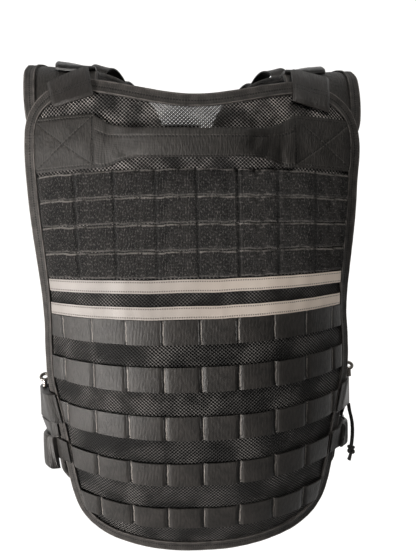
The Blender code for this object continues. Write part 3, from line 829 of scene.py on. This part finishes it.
def back_pattern(u, w):
    return back_spot(2.0 * u - 1.0, round(w * back_last))


def back_place(u, w, layer):
    s, v = back_pattern(u, w)
    edge_share = min(min(u, 1.0 - u) * 12.0, min(w, 1.0 - w) * 16.0, 1.0)
    swell = 0.9 * ripple(s, v, 24.0) * edge_share
    return on_back(s, v, swell - NET_THICK * (1.0 - layer))


back_net = lay("back_net", 84, back_last, back_place, back_pattern, (net_outside, net_inside))
keep(back_net, "mesh_cloth", "back_panel")
print("back net faces", len(back_net.data.polygons))

# %% [markdown]
# The edge tape's section is a folded strip with a rounded rim cord at each side. It is swept
# once round the outline and its first and last stations are merged. Its inside lies over
# the net's edge, so no gap shows from either side.

# %% Back edge tape
# Columns: distance in from the panel's edge, height off the panel.
TAPE_SECTION = (
    (11.0, 0.3), (11.5, 1.4), (11.1, 2.2), (10.2, 2.5), (9.3, 1.9), (7.2, 1.9), (5.6, 1.5),
    (4.0, 1.9), (1.8, 1.9), (0.6, 2.5), (-0.6, 2.5), (-1.5, 1.6), (-1.7, 0.0), (-1.5, -1.7),
    (-0.5, -2.7), (2.0, -2.7), (5.6, -2.4), (9.2, -2.7), (10.0, -2.0),
)


def edge_binding(name, surface, outline):
    count = len(outline)
    walked = [0.0]
    inward = []
    for index, point in enumerate(outline):
        after = outline[(index + 1) % count]
        walked.append(walked[-1] + (after - point).length)
        along = (point - outline[index - 1]).normalized() + (after - point).normalized()
        along.normalize()
        inward.append(Vector((-along.y, along.x)))

    def place(u, w):
        index = round(u * count) % count
        width, d = TAPE_SECTION[round(w * len(TAPE_SECTION)) % len(TAPE_SECTION)]
        spot = outline[index] + inward[index] * width
        return surface(spot.x, spot.y, d + 0.25 * ripple(spot.x, spot.y, 9.0, 4.0))

    def pattern(u, w):
        corner = min(round(w * len(TAPE_SECTION)), len(TAPE_SECTION) - 1)
        return walked[round(u * count)], TAPE_SECTION[corner][0]

    return sweep(name, count, len(TAPE_SECTION), place, pattern, (edge_tape,))


def loop_of(spot, rows):
    """The closed outline of a panel: along its first row, up one side, back and down."""
    columns = 48
    shares = [2.0 * column / columns - 1.0 for column in range(columns)]
    outline = [spot(share, 0) for share in shares]
    outline += [spot(1.0, row) for row in range(rows)]
    outline += [spot(-share, rows) for share in shares]
    outline += [spot(-1.0, rows - row) for row in range(rows)]
    return outline


back_tape = edge_binding("back_edge_tape", on_back, loop_of(back_spot, back_last))
keep(back_tape, "edge_binding", "back_binding")
print("back tape faces", len(back_tape.data.polygons))

# %% [markdown]
# Strips that cross the back share one rule: they end under the edge tape, and each has its
# own height off the panel. The loop bands are poked into small points after the grid is
# made, which gives them their rough surface, and are drawn down where they are sewn.


# %% Strips across the back
def strip_end(v):
    return read(back_rows, v, 1) - 10.6


def strip(name, top, height, columns, rows, lift, sag, thick, finish, tufts=0.0):
    """A strip from height top down; lift is its outer face's height off the panel."""

    def pattern(u, w):
        v = top - height * (1.0 - w)
        return (2.0 * u - 1.0) * strip_end(v), height * w

    def place(u, w, layer):
        s, y = pattern(u, w)
        outer = 0.4 + (lift(s, w) - 0.4) * (0.35 + 0.65 * off_ends(u, columns / 4.0))
        tuft = max(layer - 1.0, 0.0)
        height_off = outer - thick * (1.0 - min(layer, 1.0)) + tuft
        return on_back(s, top - height + y + sag(s, w), height_off)

    return lay(name, columns, rows, place, pattern, (finish,), tufts=tufts)


LOOP_TOPS = (-109.0, -136.0, -163.5, -191.0)


def pile_lift(s, w):
    tack = math.floor(s / LOOP_CELL + 0.5)
    depth = 0.5 + 0.8 * ripple(tack * 1.7, 0.0, 1.1, 9.0)
    dip = depth * (1.0 - smooth(from_tack(s, LOOP_CELL) / 3.2))
    rough = 0.8 * ripple(s, 26.0 * w, 9.0, 2.0) + 0.5 * ripple(s, 26.0 * w, 3.0, 2.0)
    return 0.9 + 1.7 * off_ends(w, 7.0) - dip + rough


def pile_sag(s, w):
    return 0.7 * ripple(s, 0.0, 11.0, 5.0)


for number, top in enumerate(LOOP_TOPS, 1):
    name = f"loop_band_{number}"
    band = strip(name, top, LOOP_HEIGHT, 216, 18, pile_lift, pile_sag, 1.4, loop_pile, tufts=0.75)
    keep(band, "loop_pile", f"loop_row_{number}")
print("loop band faces", len(band.data.polygons))

# %% Light tapes
TAPE_TOPS = (-219.5, -246.5)


def film_lift(s, w):
    return 1.9 + 1.2 * ripple(s, 0.0, 21.0, 8.0) + 0.3 * ripple(s, w * 13.0, 7.0, 1.0)


def film_sag(s, w):
    return 1.0 * ripple(s, 0.0, 33.0, 12.0)


for name, top in zip(("upper", "lower"), TAPE_TOPS):
    film_strip = strip(
        f"light_tape_{name}", top, TAPE_WIDTH, 150, 5, film_lift, film_sag, 0.7, light_tape
    )
    keep(film_strip, "reflective_tape", f"reflective_tape_{name}")
print("light tape faces", len(film_strip.data.polygons))

# %% [markdown]
# The webbing rows are tacked down every 38 millimetres, on a line from the top row to the
# bottom one, and stand off the net between the tacks. The top row is nearly flat. Each cell
# swells by its own amount, and its lower edge stands a little further off than its upper one.

# %% Webbing rows
WEBBING_TOPS = (-260.3, -309.0, -361.0, -413.5, -469.0)


def webbing_lift(bulge, seed):
    def lift(s, w):
        off = from_tack(s, CELL)
        cell = math.floor(s / CELL)
        own = 1.0 + 0.3 * ripple(cell * 3.7, seed * 5.1, 1.9, seed)
        stand = bulge * own * smooth((off - 0.5) / 4.0)
        return 2.0 + stand * (0.85 + 0.35 * (1.0 - w)) + 0.25 * smooth(off / 12.0)

    return lift


def webbing_sag(seed):
    def sag(s, w):
        off = from_tack(s, CELL)
        return 1.1 * ripple(math.floor(s / CELL) * 2.3, seed, 1.3, 3.0) * smooth(off / 6.0)

    return sag


TOP_BULGE, ROW_BULGE = 0.4, 1.6
for index, top in enumerate(WEBBING_TOPS):
    name = f"webbing_{index + 1}"
    lift = webbing_lift(ROW_BULGE if index else TOP_BULGE, float(index))
    sag = webbing_sag(float(index))
    row = strip(name, top, WEBBING_WIDTH, 232, 8, lift, sag, 1.3, row_webbing)
    keep(row, "nylon_webbing", f"webbing_row_{index + 1}")
print("webbing faces", len(row.data.polygons))

# %% [markdown]
# The carry handle is a strip of pack cloth folded over a core, which flares at both ends and
# is sewn to a square patch. The patches lie flat on the panel. The grip is a rounded
# section swept along a table of heights, and stands off the back so that a hand fits behind.

# %% Handle patches
PATCH_INNER, PATCH_BOTTOM = 99.0, -105.5
patch_pattern = sized(PATCH_WIDTH, PATCH_HEIGHT)
for name, side in SIDES:

    def patch_place(u, w, layer, side=side):
        rim = off_ends(u, 20.0) * off_ends(w, 16.0)
        puff = 1.1 * ripple(u * 69.0, w * 51.0, 17.0, side)
        outer = 1.5 + (0.7 + puff) * rim
        s = side * (PATCH_INNER + PATCH_WIDTH * u)
        return on_back(s, PATCH_BOTTOM + PATCH_HEIGHT * w, outer - 1.3 * (1.0 - layer))

    patch_name = f"handle_patch_cloth_{name}"
    patch = lay(patch_name, 46, 34, patch_place, patch_pattern, (patch_cloth,))
    keep(patch, "pack_cloth", f"handle_patch_{name}")
print("patch faces", len(patch.data.polygons))

# %% Handle grip
# Columns: distance from the middle, top, bottom, stand-off of the middle line, thickness.
HANDLE = (
    (0.0, -73.5, -98.5, 20.0, 7.0),
    (24.0, -73.0, -98.0, 19.0, 7.0),
    (48.0, -72.0, -97.5, 16.0, 6.2),
    (60.0, -71.0, -98.0, 12.5, 4.6),
    (72.0, -68.5, -100.0, 8.5, 3.4),
    (84.0, -64.5, -104.5, 5.2, 2.6),
    (92.0, -60.0, -106.5, 3.9, 2.2),
    (99.5, -55.5, -105.5, 3.3, 1.8),
)
half_grip = softened(HANDLE, 5)
grip_rows_table = [Vector((-row[0], *row[1:])) for row in half_grip[:0:-1]] + half_grip
GRIP_CORNERS = 28


def grip_ring(u, w):
    row = grip_rows_table[round(u * (len(grip_rows_table) - 1))]
    angle = math.tau * w
    return row, math.cos(angle), math.sin(angle)


def grip_place(u, w):
    (s, top, bottom, stand, thick), cosine, sine = grip_ring(u, w)
    lift = math.copysign(abs(cosine) ** 0.55, cosine) * thick / 2.0
    share = 0.5 + 0.5 * math.copysign(abs(sine) ** 0.8, sine)
    creased = cosine > 0.0 and abs(s) < 62.0
    crease = 0.9 * (1.0 - smooth(abs(share - 0.70) * 14.0)) if creased else 0.0
    v = bottom + (top - bottom) * share
    flare = smooth((abs(s) - 44.0) / 14.0) * (1.0 - smooth((abs(s) - 84.0) / 12.0))
    fold = flare * (2.6 * ripple(s, v * 1.3, 13.0, 7.0) - 1.6)
    return on_back(s, v, stand + lift - crease + fold + 0.35 * ripple(s, v, 9.0, 7.0))


def grip_pattern(u, w):
    row, _, sine = grip_ring(u, w)
    return row[0], 13.0 + 13.0 * math.copysign(abs(sine) ** 0.8, sine)


grip = sweep(
    "handle_grip_cloth",
    len(grip_rows_table) - 1,
    GRIP_CORNERS,
    grip_place,
    grip_pattern,
    (grip_cloth,),
    ring=False,
)
keep(grip, "pack_cloth", "handle_grip")
print("grip faces", len(grip.data.polygons))

# %% [markdown]
# The two front pieces run from their hems over the shoulders and down behind the back
# panel's top edge. Below the shoulder they are net over a dark cloth, and the yoke is pack
# cloth. Each has the same edge tape as the back.

# %% Front pieces
YOKE_FROM = -20.0
front_last = len(front_rows) - 1


def front_spot(share, row):
    path, inner, outer = front_rows[row]
    start, end = front_arc(inner, path), front_arc(outer, path)
    return Vector((start + (end - start) * (share + 1.0) / 2.0, path))


def front_pattern(u, w):
    return front_spot(2.0 * u - 1.0, round(w * front_last))


def yoke_or_net(u, w):
    return 2 if front_rows[min(int(w * front_last), front_last)][0] > YOKE_FROM else 0


for name, side in SIDES:

    def front_place(u, w, layer, side=side):
        a, p = front_pattern(u, w)
        inside = min(min(u, 1.0 - u) * 8.0, 1.0) * smooth(-p / 60.0)
        swell = 0.7 * ripple(a * side, p, 30.0, 6.0) * inside
        return on_front(a, p, swell - 1.8 * (1.0 - layer), side)

    finishes = (net_lined, lining_cloth, yoke_cloth)
    panel_name = f"front_cloth_{name}"
    panel = lay(panel_name, 30, front_last, front_place, front_pattern, finishes, yoke_or_net)
    keep(panel, "mesh_cloth", f"front_panel_{name}")

    def front_surface(a, p, d, side=side):
        return on_front(a, p, d * (1.0 if p < 150.0 else 0.8), side)

    outline = loop_of(front_spot, front_last)
    tape = edge_binding(f"front_edge_tape_{name}", front_surface, outline)
    keep(tape, "edge_binding", f"front_binding_{name}")
print("front faces", len(panel.data.polygons), len(tape.data.polygons))

# %% [markdown]
# The front closes with a plain zip: a ribbed tape behind two rows of small teeth, and a
# slider and its pull at the top. They are all bevelled blocks.

# %% Front zip
ZIP_LOW, ZIP_LONG, ZIP_WIDE = RIDGE_FROM - 383.0, 321.0, 10.4
ZIP_HIGH = ZIP_LOW + ZIP_LONG
TOOTH_PITCH, TOOTH_LEAN = 2.6, 0.9


def zip_place(u, w, layer):
    return settled(ZIP_WIDE * (u - 0.5), FRONT_Y - 1.6 + 1.2 * layer, ZIP_LOW + ZIP_LONG * w)


def zip_pattern(u, w):
    return ZIP_LONG * w, ZIP_WIDE * u


def block(bm, size, off, lean, z):
    """One block of a size in mm, at a height z and a distance off the zip's front."""
    verts = bmesh.ops.create_cube(bm, size=1.0)["verts"]
    bmesh.ops.scale(bm, vec=size, verts=verts)
    bmesh.ops.translate(bm, vec=settled(lean, FRONT_Y + off, z), verts=verts)


zip_tape = lay("zip_tape", 4, 40, zip_place, zip_pattern, (plain_webbing,), smooth_angle=30.0)
keep(zip_tape, "black_plastic", "front_zip")
bm = bmesh.new()
teeth = int(ZIP_LONG / TOOTH_PITCH)
for tooth in range(teeth):
    lean = TOOTH_LEAN if tooth % 2 else -TOOTH_LEAN
    block(bm, (3.0, 1.8, 1.5), 0.2, lean, ZIP_LOW + TOOTH_PITCH * (tooth + 0.5))
block(bm, (7.5, 3.6, 9.0), 0.6, 0.0, ZIP_HIGH - 5.0)
block(bm, (5.0, 1.2, 20.0), 3.0, 0.0, ZIP_HIGH - 15.0)
bmesh.ops.bevel(
    bm, geom=bm.edges[:], offset=0.3, segments=1, profile=0.5, affect="EDGES", material=-1
)
bmesh.ops.scale(bm, vec=(MM, MM, MM), verts=bm.verts)
zip_teeth = keep(object_from(bm, "zip_teeth", (black_plastic,), 30.0), "black_plastic")
print("teeth", teeth)

# %% [markdown]
# Each shoulder has a webbing tab folded over the back panel's top edge, a flat bar that the
# tab hangs from, and a webbing strip tacked into two loops on the front of the shoulder.

# %% Shoulder fittings
# Each tab's corners: its foot's inner and outer one, then its top's.
TABS = {
    "left": ((99.0, -37.5), (142.0, -46.5), (106.0, -9.0), (150.0, -23.5)),
    "right": ((100.0, -41.0), (140.0, -49.0), (104.0, -9.0), (146.0, -15.0)),
}
# The bar, round the shoulder's arch in degrees and out from the middle.
BAR_FROM, BAR_TURN = 70.0, 18.0
BAR_INNER, BAR_LONG = 98.0, 42.0
# The two loops, along the front piece.
LOOPS_FROM, LOOPS_LONG = 72.0, 50.0
for name, side in SIDES:

    def tab_place(u, w, layer, side=side, corners=[Vector(corner) for corner in TABS[name]]):
        low = corners[0].lerp(corners[1], u)
        high = corners[2].lerp(corners[3], u)
        s, v = low.lerp(high, w)
        rim = off_ends(u, 14.0) * smooth(w * 10.0)
        outer = 4.3 + 1.3 * rim + 0.5 * ripple(s, v, 13.0, side)
        return on_back(side * s, v, outer * layer + 2.9 * (1.0 - layer))

    tab_name = f"shoulder_tab_cloth_{name}"
    tab = lay(tab_name, 30, 26, tab_place, sized(43.0, 33.0), (tab_webbing,))
    keep(tab, "nylon_webbing", f"shoulder_tab_{name}")

    def bar_place(u, w, layer, side=side):
        path = ARCH_RADIUS * (math.pi - math.radians(BAR_FROM + BAR_TURN * w))
        rounded = math.sqrt(max(1.0 - (2.0 * w - 1.0) ** 4 * 0.75, 0.0))
        end = off_ends(u, 30.0) * 0.25 + 0.75
        across = front_arc(BAR_INNER + BAR_LONG * u, path)
        return on_front(across, path, 2.3 + 4.6 * layer * rounded * end, side)

    bar_name = f"shoulder_bar_plate_{name}"
    bar = lay(bar_name, 24, 12, bar_place, sized(38.0, 26.0), (black_plastic,))
    keep(bar, "black_plastic", f"shoulder_bar_{name}")

    def loops_place(u, w, layer, side=side):
        path = LOOPS_FROM + LOOPS_LONG * u
        inner = front_arc(read(front_rows, path, 1), path)
        swell = (4.0 + 6.0 * u) * abs(math.sin(math.tau * u)) ** 0.7
        return on_front(inner + 1.5 + 18.0 * w, path, 2.8 + swell + 1.4 * layer, side)

    loops_name = f"shoulder_loops_{name}"
    loops = lay(loops_name, 72, 10, loops_place, sized(56.0, 18.0), (plain_webbing,))
    keep(loops, "nylon_webbing", f"shoulder_webbing_{name}")
print("tab faces", len(tab.data.polygons))

# %% [markdown]
# At each side two straps cross from the back to the front, seen here nearly edge-on. The
# lower one carries a buckle, a keeper plate joins the two, and a wire ring stands on the
# upper one. The straps follow the same route as their solids. In the photo the left pieces
# stand out further, and no gap shows between them.

# %% Side straps, buckles and keepers
STRAP_UPPER = (-388.0, -356.0)
STRAP_LOWER = (-436.0, -410.0)
SIDE_REACH = 168.5
SIDE_MIDDLE_Y = -14.0
WHOLE = (0.0, 8.0)
ROUTE_STEPS = 24
# Columns: how much further out the strap, the buckle and the keeper stand than usual, how
# far the buckle reaches below its strap, the keeper's span, the finish of both.
SIDE_BODIES = {
    "left": (5.0, 6.0, 4.4, 12.0, (1.7, 6.0), plain_webbing),
    "right": (0.0, 0.0, 0.0, 1.0, (4.5, 6.0), black_plastic),
}


def side_route(v):
    """Points from the back panel's edge round the side to the front piece, at a height v."""
    half = read(back_rows, v, 1)
    points = [on_back(half - back, v, 3.3) for back in (10.5, 4.5, -2.2)]
    middle_z = points[-1].z
    path = middle_z - RIDGE_FROM
    outer = front_arc(read(front_rows, path, 2), path)
    reach = SIDE_REACH - 6.0 * smooth((STRAP_UPPER[0] - v) / (STRAP_UPPER[0] - STRAP_LOWER[1]))
    points += [
        Vector((reach - 4.0, SIDE_MIDDLE_Y - 12.0, middle_z)),
        Vector((reach, SIDE_MIDDLE_Y, middle_z)),
        Vector((reach - 1.5, SIDE_MIDDLE_Y + 15.0, middle_z)),
    ]
    return points + [on_front(outer - back, path, 3.3) for back in (-2.2, 8.0, 22.0)]


def side_sheet(name, low, high, span, lift, across, along, side, finish):
    """A strap between heights low and high, over the span of the route's points."""
    route = [softened(side_route(height), ROUTE_STEPS) for height in (low, high)]

    def middle(u, w):
        index = round((span[0] + (span[1] - span[0]) * u) * ROUTE_STEPS)
        return route[0][index].lerp(route[1][index], w), index

    def place(u, w, layer):
        point, index = middle(u, w)
        before, after = max(index - 8, 0), min(index + 8, len(route[0]) - 1)
        run = route[0][after].lerp(route[1][after], w)
        run -= route[0][before].lerp(route[1][before], w)
        outward = run.cross(route[1][index] - route[0][index]).normalized()
        point = point + outward * lift(u, w, layer)
        return Vector((point.x * side, point.y, point.z))

    walked = sum((b - a).length for a, b in zip(route[0], route[0][1:]))
    length = walked * (span[1] - span[0]) / WHOLE[1]
    return lay(name, across, along, place, sized(length, high - low), (finish,))


def strap_lift(u, w, layer):
    return 1.8 * layer + 0.25 * ripple(u * 40.0, w * 9.0, 6.0, 3.0)


def buckle_lift(u, w, layer):
    frame_rim = 1.0 - smooth(min(min(u, 1.0 - u) * 9.0, min(w, 1.0 - w) * 7.0))
    grip_ribs = 0.5 * (0.5 + 0.5 * math.cos(math.tau * u * 9.0)) if 0.2 < u < 0.8 else 0.0
    rounded = math.sqrt(max(1.0 - (2.0 * w - 1.0) ** 6, 0.05))
    return 2.1 + (3.2 + 1.2 * frame_rim + grip_ribs) * layer * rounded


def keeper_lift(u, w, layer):
    return 2.0 * layer * (0.75 + 0.25 * off_ends(u, 10.0))


def raised_lift(lift, more):
    """The same piece, with its outer face further out."""
    return lambda u, w, layer: lift(u, w, layer) + more * layer * off_ends(u, 7.0)


for name, side in SIDES:
    strap_more, buckle_more, keeper_more, below, keeper_span, finish = SIDE_BODIES[name]
    strap_out = raised_lift(strap_lift, strap_more)
    straps = (("upper", STRAP_UPPER, strap_out), ("lower", STRAP_LOWER, strap_lift))
    for height, ends, lift in straps:
        title = f"side_strap_{name}_{height}"
        strap = side_sheet(title, *ends, WHOLE, lift, 96, 10, side, plain_webbing)
        keep(strap, "nylon_webbing", f"side_strap_{height}_{name}")
    title = f"side_buckle_body_{name}"
    ends = (STRAP_LOWER[0] - below, STRAP_LOWER[1] + 1.5)
    lift = raised_lift(buckle_lift, buckle_more)
    buckle = side_sheet(title, *ends, (2.5, 5.5), lift, 72, 16, side, finish)
    keep(buckle, "black_plastic", f"side_buckle_{name}")
    title = f"side_keeper_plate_{name}"
    ends = (STRAP_LOWER[1] + 2.4, STRAP_UPPER[0] - 1.0)
    lift = raised_lift(keeper_lift, keeper_more)
    keeper = side_sheet(title, *ends, keeper_span, lift, 24, 10, side, finish)
    keep(keeper, "black_plastic", f"side_keeper_{name}")
print("strap faces", len(strap.data.polygons))

# %% Side rings
RING_RADIUS, RING_WIRE, RING_HEIGHT = 4.3, 1.8, -334.6
RING_TILT = 38.0
STEM_LONG = 9.6
for name, side in SIDES:
    bm = bmesh.new()
    section = bmesh.ops.create_circle(bm, segments=14, radius=RING_WIRE)["verts"]
    bmesh.ops.rotate(bm, verts=section, matrix=Matrix.Rotation(math.radians(90.0), 3, "X"))
    bmesh.ops.translate(bm, vec=(RING_RADIUS, 0.0, 0.0), verts=section)
    bmesh.ops.spin(bm, geom=bm.edges[:], axis=(0, 0, 1), angle=math.tau, steps=40, use_merge=True)
    bmesh.ops.rotate(bm, verts=bm.verts, matrix=Matrix.Rotation(math.radians(RING_TILT), 3, "X"))
    centre = Vector(((SIDE_REACH + 0.9) * side, SIDE_MIDDLE_Y, RING_HEIGHT))
    bmesh.ops.translate(bm, vec=centre, verts=bm.verts)
    stem = bmesh.ops.create_cone(
        bm, cap_ends=True, segments=20, radius1=2.6, radius2=2.2, depth=STEM_LONG
    )["verts"]
    below = Vector((0.0, -RING_RADIUS * 0.79, -RING_RADIUS * 0.62 - 3.8))
    bmesh.ops.translate(bm, vec=centre + below, verts=stem)
    bmesh.ops.recalc_face_normals(bm, faces=bm.faces)
    bmesh.ops.scale(bm, vec=(MM, MM, MM), verts=bm.verts)
    ring = object_from(bm, f"side_ring_wire_{name}", (bright_wire,), 40.0)
    keep(ring, "dark_steel", f"side_ring_{name}")
print("ring faces", len(ring.data.polygons))

# %% [markdown]
# The cord ends in a knot. A trefoil curve, swept with the cord's own section and squeezed to
# the knot's size, reads as a real knot from every side, and two short tails hang from it.

# %% Pull cord and its knot
KNOT_CORD = 1.6
knot_points = []
for step in range(60):
    t = math.tau * step / 60
    x = 2.5 * math.sin(3.0 * t)
    y = 1.7 * (math.sin(t) + 2.0 * math.sin(2.0 * t))
    z = 1.35 * (math.cos(t) - 2.0 * math.cos(2.0 * t)) + 1.3
    knot_points.append(KNOT_CENTRE + Vector((x, y, z)))
knot = tube("side_cord_knot_cord", knot_points, KNOT_CORD, closed=True)
knot.data.materials.append(cord_cloth)
keep(knot, "black_cord", "side_cord_knot")
for name, lean in (("rear", -2.6), ("front", 2.0)):
    shares = (0.0, 0.3, 0.6, 1.0)
    points = [KNOT_CENTRE + Vector((-2.6 * t, lean * t, -2.5 - 8.5 * t)) for t in shares]
    tail = tube(f"side_cord_tail_{name}", points, KNOT_CORD)
    tail.data.materials.append(cord_cloth)
    keep(tail, "black_cord")
for name, points in strands.items():
    strand = tube(f"side_cord_strand_{name}", points, CORD / 2.0)
    strand.data.materials.append(cord_cloth)
    keep(strand, "black_cord", f"side_cord_{name}")
print("cord strands", len(strands))

# %% [markdown]
# The panels are sheets of cloth, cut flat and held in the form of a worn vest. The flat areas
# of the back panel and of a front piece are summed from their outlines. The grip is a firm pad.


def flat_area(rows, width):
    area = 0.0
    for low, high in zip(rows, rows[1:]):
        area += (width(low) + width(high)) / 2.0 * (high[0] - low[0])
    return area * MM * MM


def front_wide(row):
    path, inner, outer = row
    return front_arc(outer, path) - front_arc(inner, path)


back_area = flat_area(back_rows, lambda row: 2.0 * row[1])
front_area = flat_area(front_rows, front_wide)
for name, _ in SIDES:
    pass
print("flat areas", round(front_area, 4))

# %% [markdown]
# The studio is a pale floor with a pale wall behind it, both lit so that they read as
# white, and white air on the other sides. One large soft light stands low on the left of the
# picture, so the cloth there shows its warm grey and the right side falls away to black.


# %% Floor, wall and light
def seen_from(start):
    """1 where the camera itself looks at a thing, 0 where light from it falls on the vest."""
    return start.made("ShaderNodeLightPath")


STAGE_SIZE, STAGE_GLOW = 6.0, 0.96
GLOW_FROM, GLOW_FULL = 60.0, 500.0


def stage_plane(name, location, tilt):
    """A plane that glows for the camera, and lights the vest from behind only."""
    made = Finish(f"{name}_paint", on_cloth=False)
    behind = made.y * 0.0 + 1.0 if tilt else made.y.within(GLOW_FROM, GLOW_FULL)
    glowing = behind.larger(seen_from(made.start)).blend((0.0, 0.0, 0.0), (1.0, 0.995, 0.985))
    made.material.node_tree.links.new(glowing.socket, made.shader.inputs["Emission Color"])
    made.shader.inputs["Base Color"].default_value = (0.22, 0.22, 0.22, 1.0)
    made.shader.inputs["Roughness"].default_value = 0.9
    made.shader.inputs["Emission Strength"].default_value = STAGE_GLOW
    bm = bmesh.new()
    bmesh.ops.create_grid(bm, x_segments=1, y_segments=1, size=STAGE_SIZE)
    bmesh.ops.rotate(bm, verts=bm.verts, matrix=Matrix.Rotation(math.radians(tilt), 3, "X"))
    bmesh.ops.translate(bm, vec=location, verts=bm.verts)
    plane = object_from(bm, name, (made.material,), 30.0)


stage_plane("studio_floor", (0.0, 0.0, -1.1), 0.0)
stage_plane("studio_wall", (0.0, 3.0, 0.0), 90.0)
# Columns: name, place, aim, size, power, colour.
LIGHTS = (
    ("key_light", (-1.72, -1.15, -0.66), (-0.02, -0.08, -0.36), 0.7, 56.0, (1.0, 0.965, 0.93)),
    ("top_light", (0.5, -1.2, 1.5), (0.1, -0.05, -0.05), 0.6, 14.0, (1.0, 0.97, 0.92)),
)
for name, place, aim, size, power, tint in LIGHTS:
    lamp = bpy.data.lights.new(name, "AREA")
    lamp.shape = "DISK"
    lamp.size = size
    lamp.energy = power
    lamp.color = tint
    made = bpy.data.objects.new(name, lamp)
    made.location = place
    made.rotation_euler = (Vector(aim) - Vector(place)).to_track_quat("-Z", "Y").to_euler()
    bpy.context.scene.collection.objects.link(made)
world = bpy.data.worlds.new("studio_air")
world.use_nodes = True
air = seen_from(Wire(world.node_tree)).blend((0.03, 0.03, 0.03), (0.96, 0.955, 0.945))
world.node_tree.links.new(air.socket, world.node_tree.nodes["Background"].inputs["Color"])
bpy.context.scene.world = world
bpy.context.scene.view_settings.view_transform = "Standard"
print("lights", len(bpy.data.lights))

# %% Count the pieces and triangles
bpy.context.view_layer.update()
triangles = 0
for piece in pieces:
    if piece.type == "MESH":
        triangles += sum(len(face.vertices) - 2 for face in piece.data.polygons)
print("pieces", len(pieces), "triangles", triangles)
